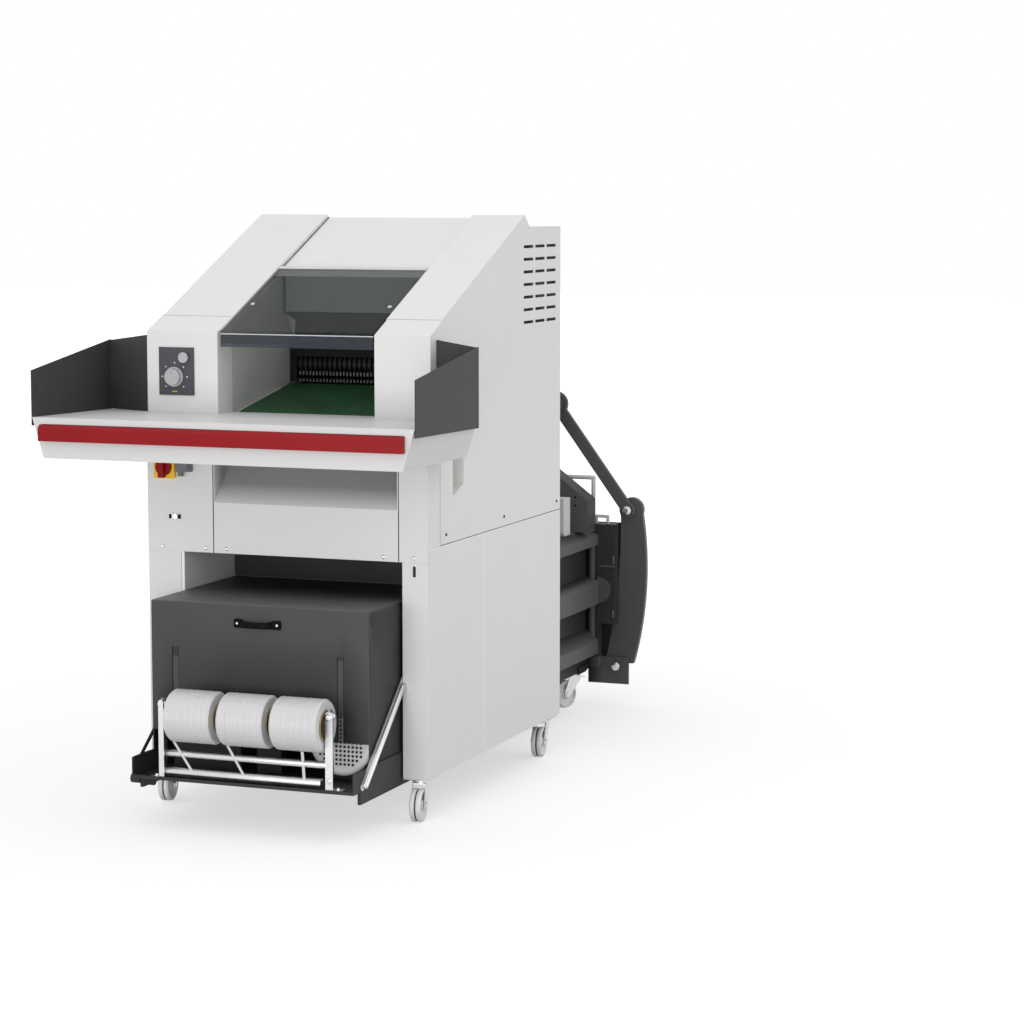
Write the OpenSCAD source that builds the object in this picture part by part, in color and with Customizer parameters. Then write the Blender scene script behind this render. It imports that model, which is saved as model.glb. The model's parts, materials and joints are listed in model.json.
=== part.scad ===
// Shredder with feed table and conveyor, standing over a horizontal baling press.
// Front is -Y, up is +Z, millimetres. The origin is on the floor under the middle of the whole machine.

/* [Cabinet] */
// Width of the cabinet
cab_w = 924; // [880:2:980]
// Depth of the cabinet
cab_d = 1145; // [1080:5:1250]
// Height of the cabinet's lower edge above the floor
base_z = 130; // [125:1:140]
// Lower edge of the front panels
front_z = 778; // [740:1:800]
// Seam between the lower and upper side panels
seam_z = 818; // [805:1:850]
// Thickness of the sheet metal
sheet = 3; // [2:0.5:4]
// Width of the left front leg
leg_l_w = 122; // [110:1:122]
// Width of the right front leg
leg_r_w = 82; // [75:1:84]
// Depth of the front legs
leg_d = 457; // [400:1:500]
// Width of the rear corner posts
post_w = 90; // [85:1:110]
// Depth of the rear corner posts
post_d = 110; // [100:1:130]

/* [Front panels] */
// Width of the left front panel
panel_l_w = 221; // [205:1:235]
// Width of the right front panel
panel_r_w = 91; // [85:1:100]
// Gap between neighbouring front panels
panel_gap = 3; // [2:0.5:6]
// Height of the flat part of the middle panel
mid_h = 154; // [120:1:180]
// Depth of the knee recess under the table
recess_d = 150; // [120:1:170]
// Height of the recess's back wall
recess_wall_h = 55; // [40:1:80]
// Depth of the side return of the front panels
return_d = 96; // [80:1:105]
// Drop from the table's front edge to the shelf that carries the cutting unit
shelf_drop = 58; // [53:1:64]
// Thickness of the shelf and the chute walls
plate = 5; // [4:0.5:6]

/* [Hood] */
// Front plane of the columns behind the front panels
col_y = 15; // [10:1:25]
// Height of the columns' front edge above the table
col_h = 239; // [232:1:252]
// How far the columns stand out past the cabinet sides
col_over = 4; // [2:0.5:8]
// Depth at which the column caps end
cap_y = 112; // [106:1:118]
// Width of the feed opening
open_w = 515; // [480:1:525]
// Middle of the feed opening, from the middle of the cabinet
open_x = 29.5; // [20:0.5:40]
// Depth of the hood's ridge
hood_y = 811; // [780:1:840]
// Rise of the hood from the columns to its ridge
hood_rise = 345; // [333:1:360]
// Depth where the hood's back meets the rear lid
notch_y = 858; // [850:1:890]
// Drop from the hood's ridge to the rear lid
lid_drop = 39; // [30:1:50]
// How far the middle of the hood lies below its sides
hood_step = 15; // [10:1:20]
// Depth of the window's upper edge
win_y = 437; // [420:1:445]
// Length of the clear flap's lip below the columns' front edge
lip_drop = 35; // [25:1:45]
// Thickness of the clear flap
flap_t = 5; // [4:0.5:8]
// Side gap of the clear flap
flap_gap = 7; // [5:0.5:9]

/* [Vents] */
// Length of one vent slot
vent_l = 88; // [70:1:92]
// Height of one vent slot
vent_h = 9; // [6:0.5:12]
// Height between the rows of vent slots
vent_pitch = 40; // [30:1:40]
// Rows of vent slots
vent_rows = 7; // [4:1:7]

/* [Feed table] */
// Middle of the table, from the middle of the cabinet
table_x = -27; // [-35:1:-15]
// Width of the table
table_w = 1218; // [1180:1:1260]
// Reach of the table in front of the cabinet
table_reach = 383; // [350:1:420]
// Height of the table at its front edge
table_z = 1208; // [1206:1:1215]
// Fall of the table towards the back
table_fall = 9; // [6:0.5:10]
// Height of the table's front
table_h = 120; // [110:1:130]
// How far the table's sides draw in at the bottom
table_in = 36; // [25:1:45]
// Depth at which the table's sides end, beside the cabinet
table_back = 100; // [90:1:108]
// Thickness of the side wings
wing_t = 3; // [2:0.5:4]
// Height of the wings above the table at the front
wing_h = 138; // [120:1:150]
// Height of the wings' fold above the table
wing_fold_h = 206; // [180:1:222]
// Height of the wings above the table where they meet the columns
wing_col_h = 226; // [205:1:230]
// How far the wings hang below the table top
wing_drop = 25; // [15:1:30]
// Depth where the left wing meets its column
wing_in_l = 18; // [16:1:40]
// Depth where the right wing meets its column
wing_in_r = 62; // [20:1:80]

/* [Safety bar] */
// Length of the bar
bar_l = 1160; // [1100:1:1170]
// Height of the bar
bar_h = 48; // [40:1:55]
// Thickness of the bar
bar_t = 17; // [12:1:19]
// Travel gap behind the bar
bar_gap = 3; // [2:0.5:4]
// Height of the bar's lower edge above the table front's lower edge
bar_up = 52; // [45:1:58]
// Width of the chamfer along the bar's upper edge
bar_edge = 10; // [6:1:14]

/* [Conveyor and cutter] */
// Outer radius of the belt's ends
belt_r = 22; // [20:0.5:23]
// Thickness of the belt
belt_t = 3; // [2:0.5:4]
// Side gap of the belt
belt_gap = 13; // [8:1:18]
// Radius of the cutting rings
cutter_r = 60; // [58:0.5:61]
// Depth of the cutter shafts
cutter_y = 585; // [583:1:600]
// Height of the upper cutter shaft above the table
cutter_up = 114; // [112:1:120]
// Distance between the cutter shafts
cutter_span = 112; // [110:0.5:114]
// Radius of the cutter's core between the rings
core_r = 47; // [44:0.5:48]
// Distance from one ring to the next
ring_pitch = 17; // [15:0.5:20]
// Width of one ring
ring_w = 7.5; // [6:0.25:8]

/* [Controls] */
// Width of the control plate
ctrl_w = 118; // [105:1:130]
// Height of the control plate
ctrl_h = 145; // [130:1:160]
// Radius of the control knob
knob_r = 30; // [24:1:32]
// Radius of the start button
button_r = 16; // [12:1:17]
// Side of the main switch plate
switch_w = 70; // [60:1:74]
// Radius of the key's lock
key_r = 9; // [7:0.5:11]
// Radius of the side knob
side_knob_r = 17; // [14:0.5:20]

/* [Casters] */
// Radius of the caster wheels
wheel_r = 50; // [46:1:52]
// Width of the caster wheels
wheel_w = 32; // [28:1:34]
// How far the wheels trail behind the swivel
trail = 40; // [35:1:45]
// Radius of the wheel axles
axle_r = 6; // [5:0.5:8]
// Radius of the swivel pins
pin_r = 10; // [8:0.5:12]
// Angle at which the casters stand
caster_turn = 8; // [0:1:20]
// Angle at which the casters under the press stand, turned the other way
press_turn = 27; // [0:1:40]

/* [Press] */
// Middle of the press, from the middle of the cabinet
press_x = 18; // [16:0.5:19]
// Room between the press channel and the cabinet's sides
press_room = 222; // [220:1:227]
// Thickness of the channel's walls
press_wall = 10; // [8:0.5:12]
// Underside of the press channel
press_z = 150; // [148:1:152]
// Top of the press channel
press_top = 652; // [645:1:655]
// Depth where the channel starts
press_y = 335; // [330:1:340]
// Depth where the channel's rear flange ends
press_end = 2050; // [2000:5:2100]
// How far the side ribs stand out
rib_out = 42; // [38:1:42]
// Thickness of the rear door's plate
door_t = 12; // [8:1:16]
// Depth of the rear door's ribs
door_rib = 50; // [40:1:60]

/* [Lock] */
// Distance of the lever's bolt from the press flange
bolt_out = 55; // [48:1:63]
// Height of the lever's bolt
bolt_z = 140; // [136:1:146]
// Radius of the lever's bolt
bolt_r = 12; // [10:0.5:14]
// Distance of the link's pin outside the lever's bolt
link_out = 42; // [37:1:47]
// Height of the link's pin
link_z = 715; // [705:1:725]
// Thickness of the lever
lever_t = 24; // [18:1:26]
// Radius of the lever's outer edge
lever_out_r = 1300; // [1250:5:1350]
// Radius of the lever's inner edge
lever_in_r = 2200; // [2100:10:2300]
// Distance of the hook's pin from the middle of the press
hook_x = 100; // [95:1:105]
// Height of the hook's pin
hook_z = 1095; // [1085:1:1105]
// Width of the link
link_w = 44; // [38:1:48]
// Thickness of the link
link_t = 18; // [14:1:18]

/* [Drive cover] */
// Gap between the cover and the left leg
cover_gap_l = 3; // [3:0.5:10]
// Gap between the cover and the right leg
cover_gap_r = 8; // [7:0.5:14]
// Reach of the cover in front of the legs
cover_reach = 226; // [215:1:230]
// Top of the cover
cover_top = 661; // [658:1:680]
// Lower edge of the cover's front
cover_z = 271; // [260:1:290]
// Lower edge of the cover's sides
cover_side_z = 205; // [200:1:230]

/* [Strap stand] */
// Depth of the strap rolls' axle in front of the legs
stand_reach = 330; // [328:1:345]
// Height of the axle
axle_z = 370; // [360:1:385]
// Radius of the axle
stand_r = 10; // [8:0.5:12]
// Left end plate of the stand, from the cover's left edge
stand_in_l = 93; // [87:1:97]
// Right end plate of the stand, from the cover's right edge
stand_in_r = 78; // [72:1:82]
// Radius of the strap rolls
roll_r = 78; // [70:1:84]
// Radius of the rolls' cores
roll_core = 41; // [36:1:44]
// Gap between the rolls
roll_gap = 17; // [10:1:20]
// Gap between the left end plate and the first roll
roll_in_l = 30; // [20:1:36]
// Gap between the last roll and the right end plate
roll_in_r = 9; // [5:1:14]
// Top of the tray
tray_z = 150; // [148:1:152]
// Reach of the tray in front of the legs
tray_reach = 352; // [345:1:365]

/* [Fits] */
// Running clearance of a shaft in its bore
fit = 0.05; // [0.02:0.01:0.08]
// Clearance between parts that move past each other
clear = 0.5; // [0.3:0.1:1]

/* [Hidden] */
$fn = 48;
eps = 1;

// Colours
white = [0.88, 0.88, 0.87];
dark = [0.27, 0.27, 0.28];
black = [0.08, 0.08, 0.09];
steel = [0.75, 0.76, 0.77];
pale = [0.72, 0.74, 0.75];
red = [0.6, 0.13, 0.18];
yellow = [0.93, 0.76, 0.1];
green = [0.16, 0.33, 0.2];

// Cabinet edges
half = cab_w / 2;
inner = half - sheet;
leg_l_in = -half + leg_l_w;
leg_r_in = half - leg_r_w;
shelf_z = table_z - shelf_drop;
shelf_low = shelf_z - plate;
mid_z = front_z + mid_h;
recess_z = shelf_low - recess_wall_h;
col_z = table_z + col_h;
hood_z = col_z + hood_rise;
lid_z = hood_z - lid_drop;
lip_z = col_z - lip_drop;
cutter_z = table_z + cutter_up;
cover_l = leg_l_in + cover_gap_l;
cover_r = leg_r_in - cover_gap_r;
press_w = cab_w - 2 * press_room;

// Slope of the hood: height of its outer surface at depth y
slope_rate = (hood_z - col_z) / (hood_y - col_y);
function slope(y) = col_z + slope_rate * (y - col_y);
back_rate = (hood_z - lid_z) / (notch_y - hood_y);
ridge_shift = hood_step / (slope_rate + back_rate);
mid_ridge_y = hood_y + ridge_shift;
mid_ridge_z = hood_z - back_rate * ridge_shift;

// Feed opening
open_l = open_x - open_w / 2;
open_r = open_x + open_w / 2;
flap_pin_r = 4;
flap_pin_z = slope(win_y) - 14;
web_h = hood_step + 12;
strip_w = 16;
mid_y = win_y + 22;
chute_y = 498;
chute_z = table_z + 279;
chute_low_y = 566;
chute_low_z = table_z + 186;
chute_end = 700;

// Table
table_l = table_x - table_w / 2;
table_r = table_x + table_w / 2;
table_low = table_z - table_h;
function table_top(y) = table_z - table_fall * (y + table_reach) / (table_back + table_reach);
bar_z = table_low + bar_up;
bar_y = -table_reach - bar_gap;
bar_pin_r = 6;
bar_pin_x = 400;

// Conveyor
belt_front_y = 142;
belt_front_z = table_top(cap_y) - belt_r + 2;
belt_rear_y = 500;
belt_rear_z = table_z + 32;
belt_len = norm([belt_rear_y - belt_front_y, belt_rear_z - belt_front_z]);
belt_deg = atan2(belt_rear_z - belt_front_z, belt_rear_y - belt_front_y);
roller_shaft_r = 8;
shaft_r = 20;
rings = floor((open_w - 2 * ring_w) / ring_pitch);
ring_x0 = open_x - (rings - 1) * ring_pitch / 2;

// Controls
ctrl_x = -half + 97;
ctrl_z = table_z + 45;
ctrl_t = 4;
knob_x = ctrl_x - 6;
knob_z = ctrl_z + 56;
button_x = ctrl_x + 27;
button_z = ctrl_z + 115;
switch_x = -half + 65;
switch_z = shelf_z - 114;
socket_x = switch_x + 68;
key_x = switch_x + 29;
key_z = front_z + 107;
pocket_y0 = 198;
pocket_y1 = 285;
pocket_z0 = seam_z + 139;
pocket_z1 = pocket_z0 + 148;
pocket_d = 40;
side_knob_y = 224;
side_knob_z = pocket_z0 + 43;

// Casters
caster_plate = 6;
fork_top = base_z - caster_plate - clear;
neck_r = 26;
cheek_t = 3;
cheek_in = wheel_w / 2 + 3;
front_swivel_y = 48;
rear_swivel_y = cab_d - 62;
swivel_lx = -half + 45;
swivel_rx = half - 42;
press_swivel_y = press_end - 100;
press_swivel_x = 200;

// Press
press_l = press_x - press_w / 2;
press_r = press_x + press_w / 2;
chamber_half = press_w / 2 - press_wall;
flange_d = 40;
flange_half = press_w / 2 + rib_out;
flange_ext = 62;
bolt_x = flange_half + bolt_out;
link_x = bolt_x + link_out;
flange_z0 = 140;
flange_top = press_top + 13;
hopper_y1 = 905;
hopper_y0 = 440;
rib_y0 = 620;
rail_w = 40;
rail_z = base_z;
lever_y = press_end + 14;
bracket_t = 12;
hinge_x = press_x - press_w / 2 - 18;
hinge_y = press_end + 34;
hinge_r = 10;
lug_r = 20;
lug_h = 22;
door_z0 = press_z + 15;
door_z1 = press_top - 14;
door_y = press_end + 2;
hinge_lugs = [door_z0 + 60, door_z1 - 60 - lug_h];
hook_pin_r = 14;
link_y = lever_y - link_t - clear;
link_len = norm([hook_x - link_x, hook_z - link_z]);
link_deg = atan2(hook_z - link_z, hook_x - link_x);
link_pin_r = 13;

// Drive
ram_t = 40;
ram_y = press_y + 60;
ram_z = (press_z + press_top) / 2;
rod_r = 30;
barrel_r = 62;
barrel_y0 = -185;
motor_r = 100;
motor_x = cover_r - sheet - motor_r - 1;
motor_z = tray_z + motor_r + 18;
motor_y = -cover_reach + 26;
cowl_hole = 5;
cowl_pitch = 15;

// Strap stand
stand_y = -stand_reach;
stand_l = cover_l + stand_in_l;
stand_rt = cover_r - stand_in_r;
plate_t = 5;
plate_w = 30;
roll_z = axle_z - roll_core + stand_r + clear;
roll_w = (stand_rt - stand_l - plate_t - roll_in_l - roll_in_r - 2 * roll_gap) / 3;
roll_x0 = stand_l + plate_t / 2 + roll_in_l;
guide_r = 8;
guide_z = tray_z + 72;
tube_r = 10;
tube_z = tray_z + tube_r + 5;
tube_short = 31;
strap_w = 9;
strap_t = 0.8;

// Middle of the whole machine on the floor
front_end = min(stand_y - roll_r, bar_y - bar_t);
rear_end = door_y + door_t + door_rib;
middle = [table_x, (front_end + rear_end) / 2];

// Box between two corners
module box(x0, x1, y0, y1, z0, z1) {
  translate([x0, y0, z0]) cube([x1 - x0, y1 - y0, z1 - z0]);
}

// Outline in depth and height, drawn out along X
module along_x(x0, x1) {
  translate([x0, 0, 0]) rotate([90, 0, 90]) linear_extrude(x1 - x0) children();
}

// Outline in width and height, drawn out along Y
module along_y(y0, y1) {
  translate([0, y1, 0]) rotate([90, 0, 0]) linear_extrude(y1 - y0) children();
}

module rod_x(x0, x1, y, z, r) {
  translate([x0, y, z]) rotate([0, 90, 0]) cylinder(h = x1 - x0, r = r);
}

module rod_y(x, y0, y1, z, r) {
  translate([x, y0, z]) rotate([-90, 0, 0]) cylinder(h = y1 - y0, r = r);
}

module rod_z(x, y, z0, z1, r) {
  translate([x, y, z0]) cylinder(h = z1 - z0, r = r);
}

// Moves a piece from the cabinet's own frame to the machine's frame
module placed() {
  translate([-middle[0], -middle[1], 0]) children();
}

// Bore for a caster's swivel pin
module swivel_bore(x, y) {
  rod_z(x, y, base_z - caster_plate - eps, base_z + 20, pin_r + fit);
}

// Top plate of a caster, with its four bolt heads
module caster_mount(x, y) {
  side = 84;
  box(x - side / 2, x + side / 2, y - side / 2, y + side / 2, base_z - caster_plate, base_z);
}

// Front leg, from its outer to its inner face
module leg(x0, x1, swivel_x) {
  difference() {
    union() {
      box(x0, x1, 0, leg_d, base_z, seam_z);
      caster_mount(swivel_x, front_swivel_y);
    }
    swivel_bore(swivel_x, front_swivel_y);
  }
}

module leg_left() {
  color(white) placed() leg(-half, leg_l_in, swivel_lx);
}

module leg_right() {
  slot_r = 5;
  slot_z = front_z - 17;
  slot_x = half - 44;
  color(white) placed() difference() {
    leg(leg_r_in, half, swivel_rx);
    hull() {
      for (dz = [-12, 12]) rod_y(slot_x, -eps, 6, slot_z - 10 + dz, slot_r);
    }
  }
}

// Lower rear side panel with its folded edges and the rear corner post
module lower_panel(swivel_x) {
  flange = 40;
  seam = 2;
  difference() {
    union() {
      box(inner, half, leg_d + seam, cab_d, base_z, seam_z);
      box(half - flange, inner + eps, leg_d, leg_d + sheet, base_z, seam_z);
      box(inner - eps, inner + eps / 2, leg_d, leg_d + seam + eps, base_z, seam_z);
      box(half - post_w, inner + eps, cab_d - post_d, cab_d, base_z, seam_z);
      caster_mount(swivel_x, rear_swivel_y);
    }
    swivel_bore(swivel_x, rear_swivel_y);
  }
}

module lower_panel_right() {
  color(white) placed() lower_panel(swivel_rx);
}

module lower_panel_left() {
  color(white) placed() mirror([1, 0, 0]) lower_panel(-swivel_lx);
}

// Upper side panel with its vent slots
module side_panel() {
  vent_gap = 17;
  vents = 3;
  vent_y0 = cab_d - 44 - vents * vent_l - (vents - 1) * vent_gap;
  vent_top = lid_z - 57;
  difference() {
    along_x(inner, half) polygon([
      [return_d, seam_z], [cab_d, seam_z], [cab_d, lid_z - sheet], [notch_y, lid_z - sheet],
      [hood_y, hood_z - sheet], [return_d, slope(return_d) - sheet]
    ]);
    for (row = [0 : vent_rows - 1], i = [0 : vents - 1]) {
      y = vent_y0 + i * (vent_l + vent_gap);
      z = vent_top - row * vent_pitch;
      box(inner - eps, half + eps, y, y + vent_l, z - vent_h, z);
    }
  }
}

module side_panel_left() {
  color(white) placed() mirror([1, 0, 0]) side_panel();
}

// The right panel has a pocket with a slanted floor for the side knob
module side_panel_right() {
  wall = 3;
  floor_rise = 30;
  color(white) placed() difference() {
    union() {
      side_panel();
      box(half - pocket_d - wall, inner + eps, pocket_y0 - wall, pocket_y1 + wall,
        pocket_z0 - wall, pocket_z1 + wall);
    }
    along_x(half - pocket_d, half + eps) polygon([
      [pocket_y0, pocket_z0], [pocket_y1, pocket_z0 + floor_rise], [pocket_y1, pocket_z1], [pocket_y0, pocket_z1]
    ]);
    rod_x(half - pocket_d - wall - eps, half - pocket_d + eps, side_knob_y, side_knob_z, side_knob_stem + fit);
  }
}

// Rear panel folded into the flat rear lid
module back_cover() {
  fold = 20;
  color(white) placed() union() {
    box(-inner, inner, cab_d - sheet, cab_d, seam_z, lid_z - sheet);
    box(-half, half, notch_y, cab_d, lid_z - sheet, lid_z);
    box(-inner, inner, cab_d - fold, cab_d, seam_z, seam_z + sheet);
  }
}

// Front panel with a return round the cabinet's side
module front_panel(x_edge, x_outer) {
  x0 = min(x_edge, x_outer);
  x1 = max(x_edge, x_outer);
  side = x_outer > 0 ? inner : -half;
  box(x0, x1, -sheet, 0, front_z, shelf_z);
  box(side, side + sheet, -eps, return_d, seam_z, shelf_z);
}

module front_panel_left() {
  color(white) placed() difference() {
    front_panel(-half + panel_l_w, -half);
    rod_y(key_x, -sheet - eps, eps, key_z, key_r + fit);
  }
}

module front_panel_right() {
  color(white) placed() front_panel(half - panel_r_w, half);
}

// Middle front panel: a flat plate, then a recess that slopes back to the shelf
module front_panel_mid() {
  x0 = -half + panel_l_w + panel_gap;
  x1 = half - panel_r_w - panel_gap;
  hem = 15;
  color(white) placed() {
    along_x(x0, x1) polygon([
      [-sheet, front_z], [hem, front_z], [hem, front_z + sheet], [0, front_z + sheet], [0, mid_z - sheet],
      [recess_d + sheet, recess_z - sheet], [recess_d + sheet, shelf_low], [recess_d, shelf_low],
      [recess_d, recess_z], [-sheet, mid_z]
    ]);
    for (x = [x0, x1 - sheet]) {
      along_x(x, x + sheet) polygon([
        [-sheet, mid_z - eps], [recess_d + eps, recess_z - eps], [recess_d + eps, shelf_low], [-sheet, shelf_low]
      ]);
    }
  }
}

// Column beside the feed opening, open at the back
module column(x0, x1) {
  y0 = col_y;
  difference() {
    along_x(x0, x1) polygon([
      [y0, shelf_z], [cap_y, shelf_z], [cap_y, slope(cap_y)], [y0, slope(y0)]
    ]);
    along_x(x0 + sheet, x1 - sheet) polygon([
      [y0 + sheet, shelf_z - eps], [cap_y + eps, shelf_z - eps], [cap_y + eps, slope(cap_y + eps) - sheet],
      [y0 + sheet, slope(y0 + sheet) - sheet]
    ]);
  }
}

module column_left() {
  color(white) placed() column(-half - col_over, open_l);
}

module column_right() {
  color(white) placed() column(open_r, half + col_over);
}

// Outline of a hood sheet from the column caps over the ridge to the rear lid
module hood_outline() {
  polygon([
    [cap_y, slope(cap_y) - sheet], [hood_y, hood_z - sheet], [notch_y, lid_z - sheet], [notch_y, lid_z],
    [hood_y, hood_z], [cap_y, slope(cap_y)]
  ]);
}

// Web beside the window that carries the flap's hinge pin
module hood_web(x) {
  difference() {
    along_x(x, x + sheet) polygon([
      [cap_y, slope(cap_y) - web_h], [mid_ridge_y, mid_ridge_z - web_h], [mid_ridge_y, mid_ridge_z],
      [hood_y, hood_z], [cap_y, slope(cap_y)]
    ]);
    rod_x(x - eps, x + sheet + eps, win_y, flap_pin_z, flap_pin_r + fit);
  }
}

// Raised cover over the left side of the hood
module hood_left() {
  color(white) placed() union() {
    along_x(-half, open_l) hood_outline();
    hood_web(open_l);
  }
}

// One cover round the window: the lower middle and the right side
module hood_main() {
  color(white) placed() union() {
    along_x(open_r, half) hood_outline();
    hood_web(open_r - sheet);
    along_x(open_l + sheet, open_r - sheet) polygon([
      [mid_y, slope(mid_y) - hood_step - sheet], [mid_ridge_y, mid_ridge_z - sheet], [notch_y, lid_z - sheet],
      [notch_y, lid_z], [mid_ridge_y, mid_ridge_z], [mid_y, slope(mid_y) - hood_step]
    ]);
  }
}

// Clear flap over the feed opening, bent down at its front
module feed_flap() {
  x0 = open_l + flap_gap;
  x1 = open_r - flap_gap;
  y0 = col_y + 9;
  y1 = win_y - strip_w / 2;
  color([0.75, 0.8, 0.83, 0.4]) placed() along_x(x0, x1) polygon([
    [y0, lip_z], [y0 + flap_t, lip_z], [y0 + flap_t, slope(y0 + flap_t) - flap_t], [y1, slope(y1) - flap_t],
    [y1, slope(y1)], [y0, slope(y0)]
  ]);
}

// Clamping strip along the flap's upper edge, with a hinge pin at each end
module flap_strip() {
  x0 = open_l + flap_gap;
  x1 = open_r - flap_gap;
  y0 = win_y - strip_w / 2;
  y1 = win_y + strip_w / 2;
  low = 22;
  lap = 30;
  under = flap_t + fit;
  color(steel) placed() union() {
    along_x(x0, x1) polygon([
      [y0 + fit, slope(y0) - low], [y1, slope(y1) - low], [y1, slope(y1)], [y0 + fit, slope(y0 + fit)],
      [y0 + fit, slope(y0) - under], [y0 - lap, slope(y0 - lap) - under], [y0 - lap, slope(y0 - lap) - 2 * flap_t],
      [y0 + fit, slope(y0) - 2 * flap_t]
    ]);
    rod_x(open_l, open_r, win_y, flap_pin_z, flap_pin_r);
  }
}

// Shelf, walls and bed of the cutting unit
module feed_chute() {
  out_y0 = cutter_y - cutter_r - 15;
  out_y1 = chute_end - 20;
  out_l = max(open_l + plate, press_x - chamber_half);
  out_r = min(open_r - plate, press_x + chamber_half);
  web_z = slope(chute_y) - web_h - hood_step;
  top_y = chute_y + plate;
  wall_drop = hood_step + sheet;
  color(pale) placed() difference() {
    union() {
      difference() {
        box(-inner, inner, 0, cab_d - 25, shelf_low, shelf_z);
        box(out_l, out_r, out_y0, out_y1, shelf_low - eps, shelf_z + eps);
      }
      for (x = [open_l - plate, open_r]) {
        along_x(x, x + plate) polygon([
          [cap_y, shelf_z - eps], [chute_end, shelf_z - eps], [chute_end, cutter_z + cutter_r + 20],
          [top_y, slope(top_y) - wall_drop], [cap_y, slope(cap_y) - wall_drop]
        ]);
      }
      along_x(open_l - eps, open_r + eps) polygon([
        [chute_y, chute_z], [chute_low_y, chute_low_z], [chute_low_y + plate, chute_low_z + 2],
        [top_y, chute_z + 2], [top_y, slope(top_y) - wall_drop], [chute_y, slope(chute_y) - wall_drop]
      ]);
      along_x(open_l - eps, open_r + eps) translate([belt_front_y, belt_front_z]) rotate(belt_deg) belt_bed();
    }
    for (z = [cutter_z, cutter_z - cutter_span]) {
      rod_x(open_l - 2 * plate, open_r + 2 * plate, cutter_y, z, shaft_r + fit);
    }
    rod_x(open_l - 2 * plate, open_r + 2 * plate, win_y, flap_pin_z, flap_pin_r + clear);
    rod_x(open_l - 2 * plate, open_r + 2 * plate, belt_rear_y, belt_rear_z, roller_shaft_r + fit);
    for (x = [open_l, open_r - sheet]) box(x, x + sheet, chute_y - eps, top_y + eps, web_z, hood_z);
  }
}

// Outline of the slider bed inside the belt
module belt_bed() {
  r = belt_r - belt_t;
  circle(r);
  translate([0, -r]) square([belt_len - 2 * belt_r, 2 * r]);
}

// Outline with two round ends
module belt_outline(r) {
  circle(r);
  translate([belt_len, 0]) circle(r);
  translate([0, -r]) square([belt_len, 2 * r]);
}

module conveyor_belt() {
  color(green) placed() along_x(open_l + belt_gap, open_r - belt_gap) {
    translate([belt_front_y, belt_front_z]) rotate(belt_deg) difference() {
      belt_outline(belt_r);
      belt_outline(belt_r - belt_t);
    }
  }
}

module belt_roller() {
  color(steel) placed() union() {
    rod_x(open_l + belt_gap, open_r - belt_gap, belt_rear_y, belt_rear_z, belt_r - belt_t - clear);
    rod_x(open_l - plate, open_r + plate, belt_rear_y, belt_rear_z, roller_shaft_r);
  }
}

// Cutter shaft with a row of rings, turned in one piece
module cutter(z, count, x0) {
  union() {
    rod_x(open_l - plate, open_r + plate, cutter_y, z, shaft_r);
    rod_x(open_l + 2, open_r - 2, cutter_y, z, core_r);
    for (i = [0 : count - 1]) {
      x = x0 + i * ring_pitch - ring_w / 2;
      rod_x(x, x + ring_w, cutter_y, z, cutter_r);
    }
  }
}

module cutter_upper() {
  color(black) placed() cutter(cutter_z, rings, ring_x0);
}

module cutter_lower() {
  color(black) placed() cutter(cutter_z - cutter_span, rings - 1, ring_x0 + ring_pitch / 2);
}

// Body of the table in front view, drawn in by a wall thickness
module table_front(wall) {
  polygon([
    [table_l + wall, table_z - wall], [table_r - wall, table_z - wall],
    [table_r - table_in - wall, table_low - wall / 3], [table_l + table_in + wall, table_low - wall / 3]
  ]);
}

// Step in the table's corner that takes a wing's fold, below the table's face
module wing_step(edge, meet_x, meet_y) {
  front = wing_t + 1.5;
  translate([0, 0, table_top(table_back) - eps]) linear_extrude(table_fall + 2 * eps) polygon([
    [meet_x - eps, meet_y - front], [edge + eps, table_back - wing_t / 2 - front], [edge + eps, table_back + eps],
    [meet_x - eps, table_back + eps]
  ]);
}

// Folded feed table: top with a fall to the back, front, slanted sides and two gussets below
module feed_table() {
  gusset_t = 6;
  reach = table_reach;
  side = half + col_over;
  color(white) placed() difference() {
    union() {
      difference() {
        along_y(-reach, table_back) table_front(0);
        along_y(-reach + sheet, table_back - sheet) table_front(sheet);
      }
      along_x(open_l, open_r) polygon([
        [table_back - 20, table_top(table_back - 20) - sheet], [cap_y, table_top(cap_y) - sheet],
        [cap_y, table_top(cap_y) + eps], [table_back - 20, table_top(table_back - 20) + eps]
      ]);
      along_x(table_l + sheet, table_r - sheet) polygon([
        [-reach + eps, table_top(-reach) - 2 * sheet], [table_back - eps, table_top(table_back) - sheet],
        [table_back - eps, table_top(table_back) + eps], [-reach + eps, table_top(-reach) + eps]
      ]);
      for (x = [-half + 40, half - 40 - gusset_t]) {
        along_x(x, x + gusset_t) polygon([
          [-sheet, table_low + 15], [-sheet, table_top(0) - sheet], [-reach + 60, table_top(-reach + 60) - 2 * sheet],
          [-reach + 60, table_top(-reach) - 25]
        ]);
      }
    }
    along_x(table_l - eps, table_r + eps) polygon([
      [-reach, table_top(-reach)], [table_back + 20, table_top(table_back + 20)], [table_back + 20, table_z + eps],
      [-reach, table_z + eps]
    ]);
    box(-side, side, -sheet, table_back + eps, table_low - eps, shelf_z + sheet);
    box(-side, open_l, col_y - clear, table_back + eps, table_low - eps, table_z + eps);
    box(open_r, side, col_y - clear, table_back + eps, table_low - eps, table_z + eps);
    wing_step(table_r, side, wing_in_r);
    mirror([1, 0, 0]) wing_step(-table_l, side, wing_in_l);
    for (dx = [-bar_pin_x, bar_pin_x]) {
      rod_y(table_x + dx, -reach - eps, -reach + sheet + eps, bar_z + bar_h / 2, bar_pin_r + fit);
    }
  }
}

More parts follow.
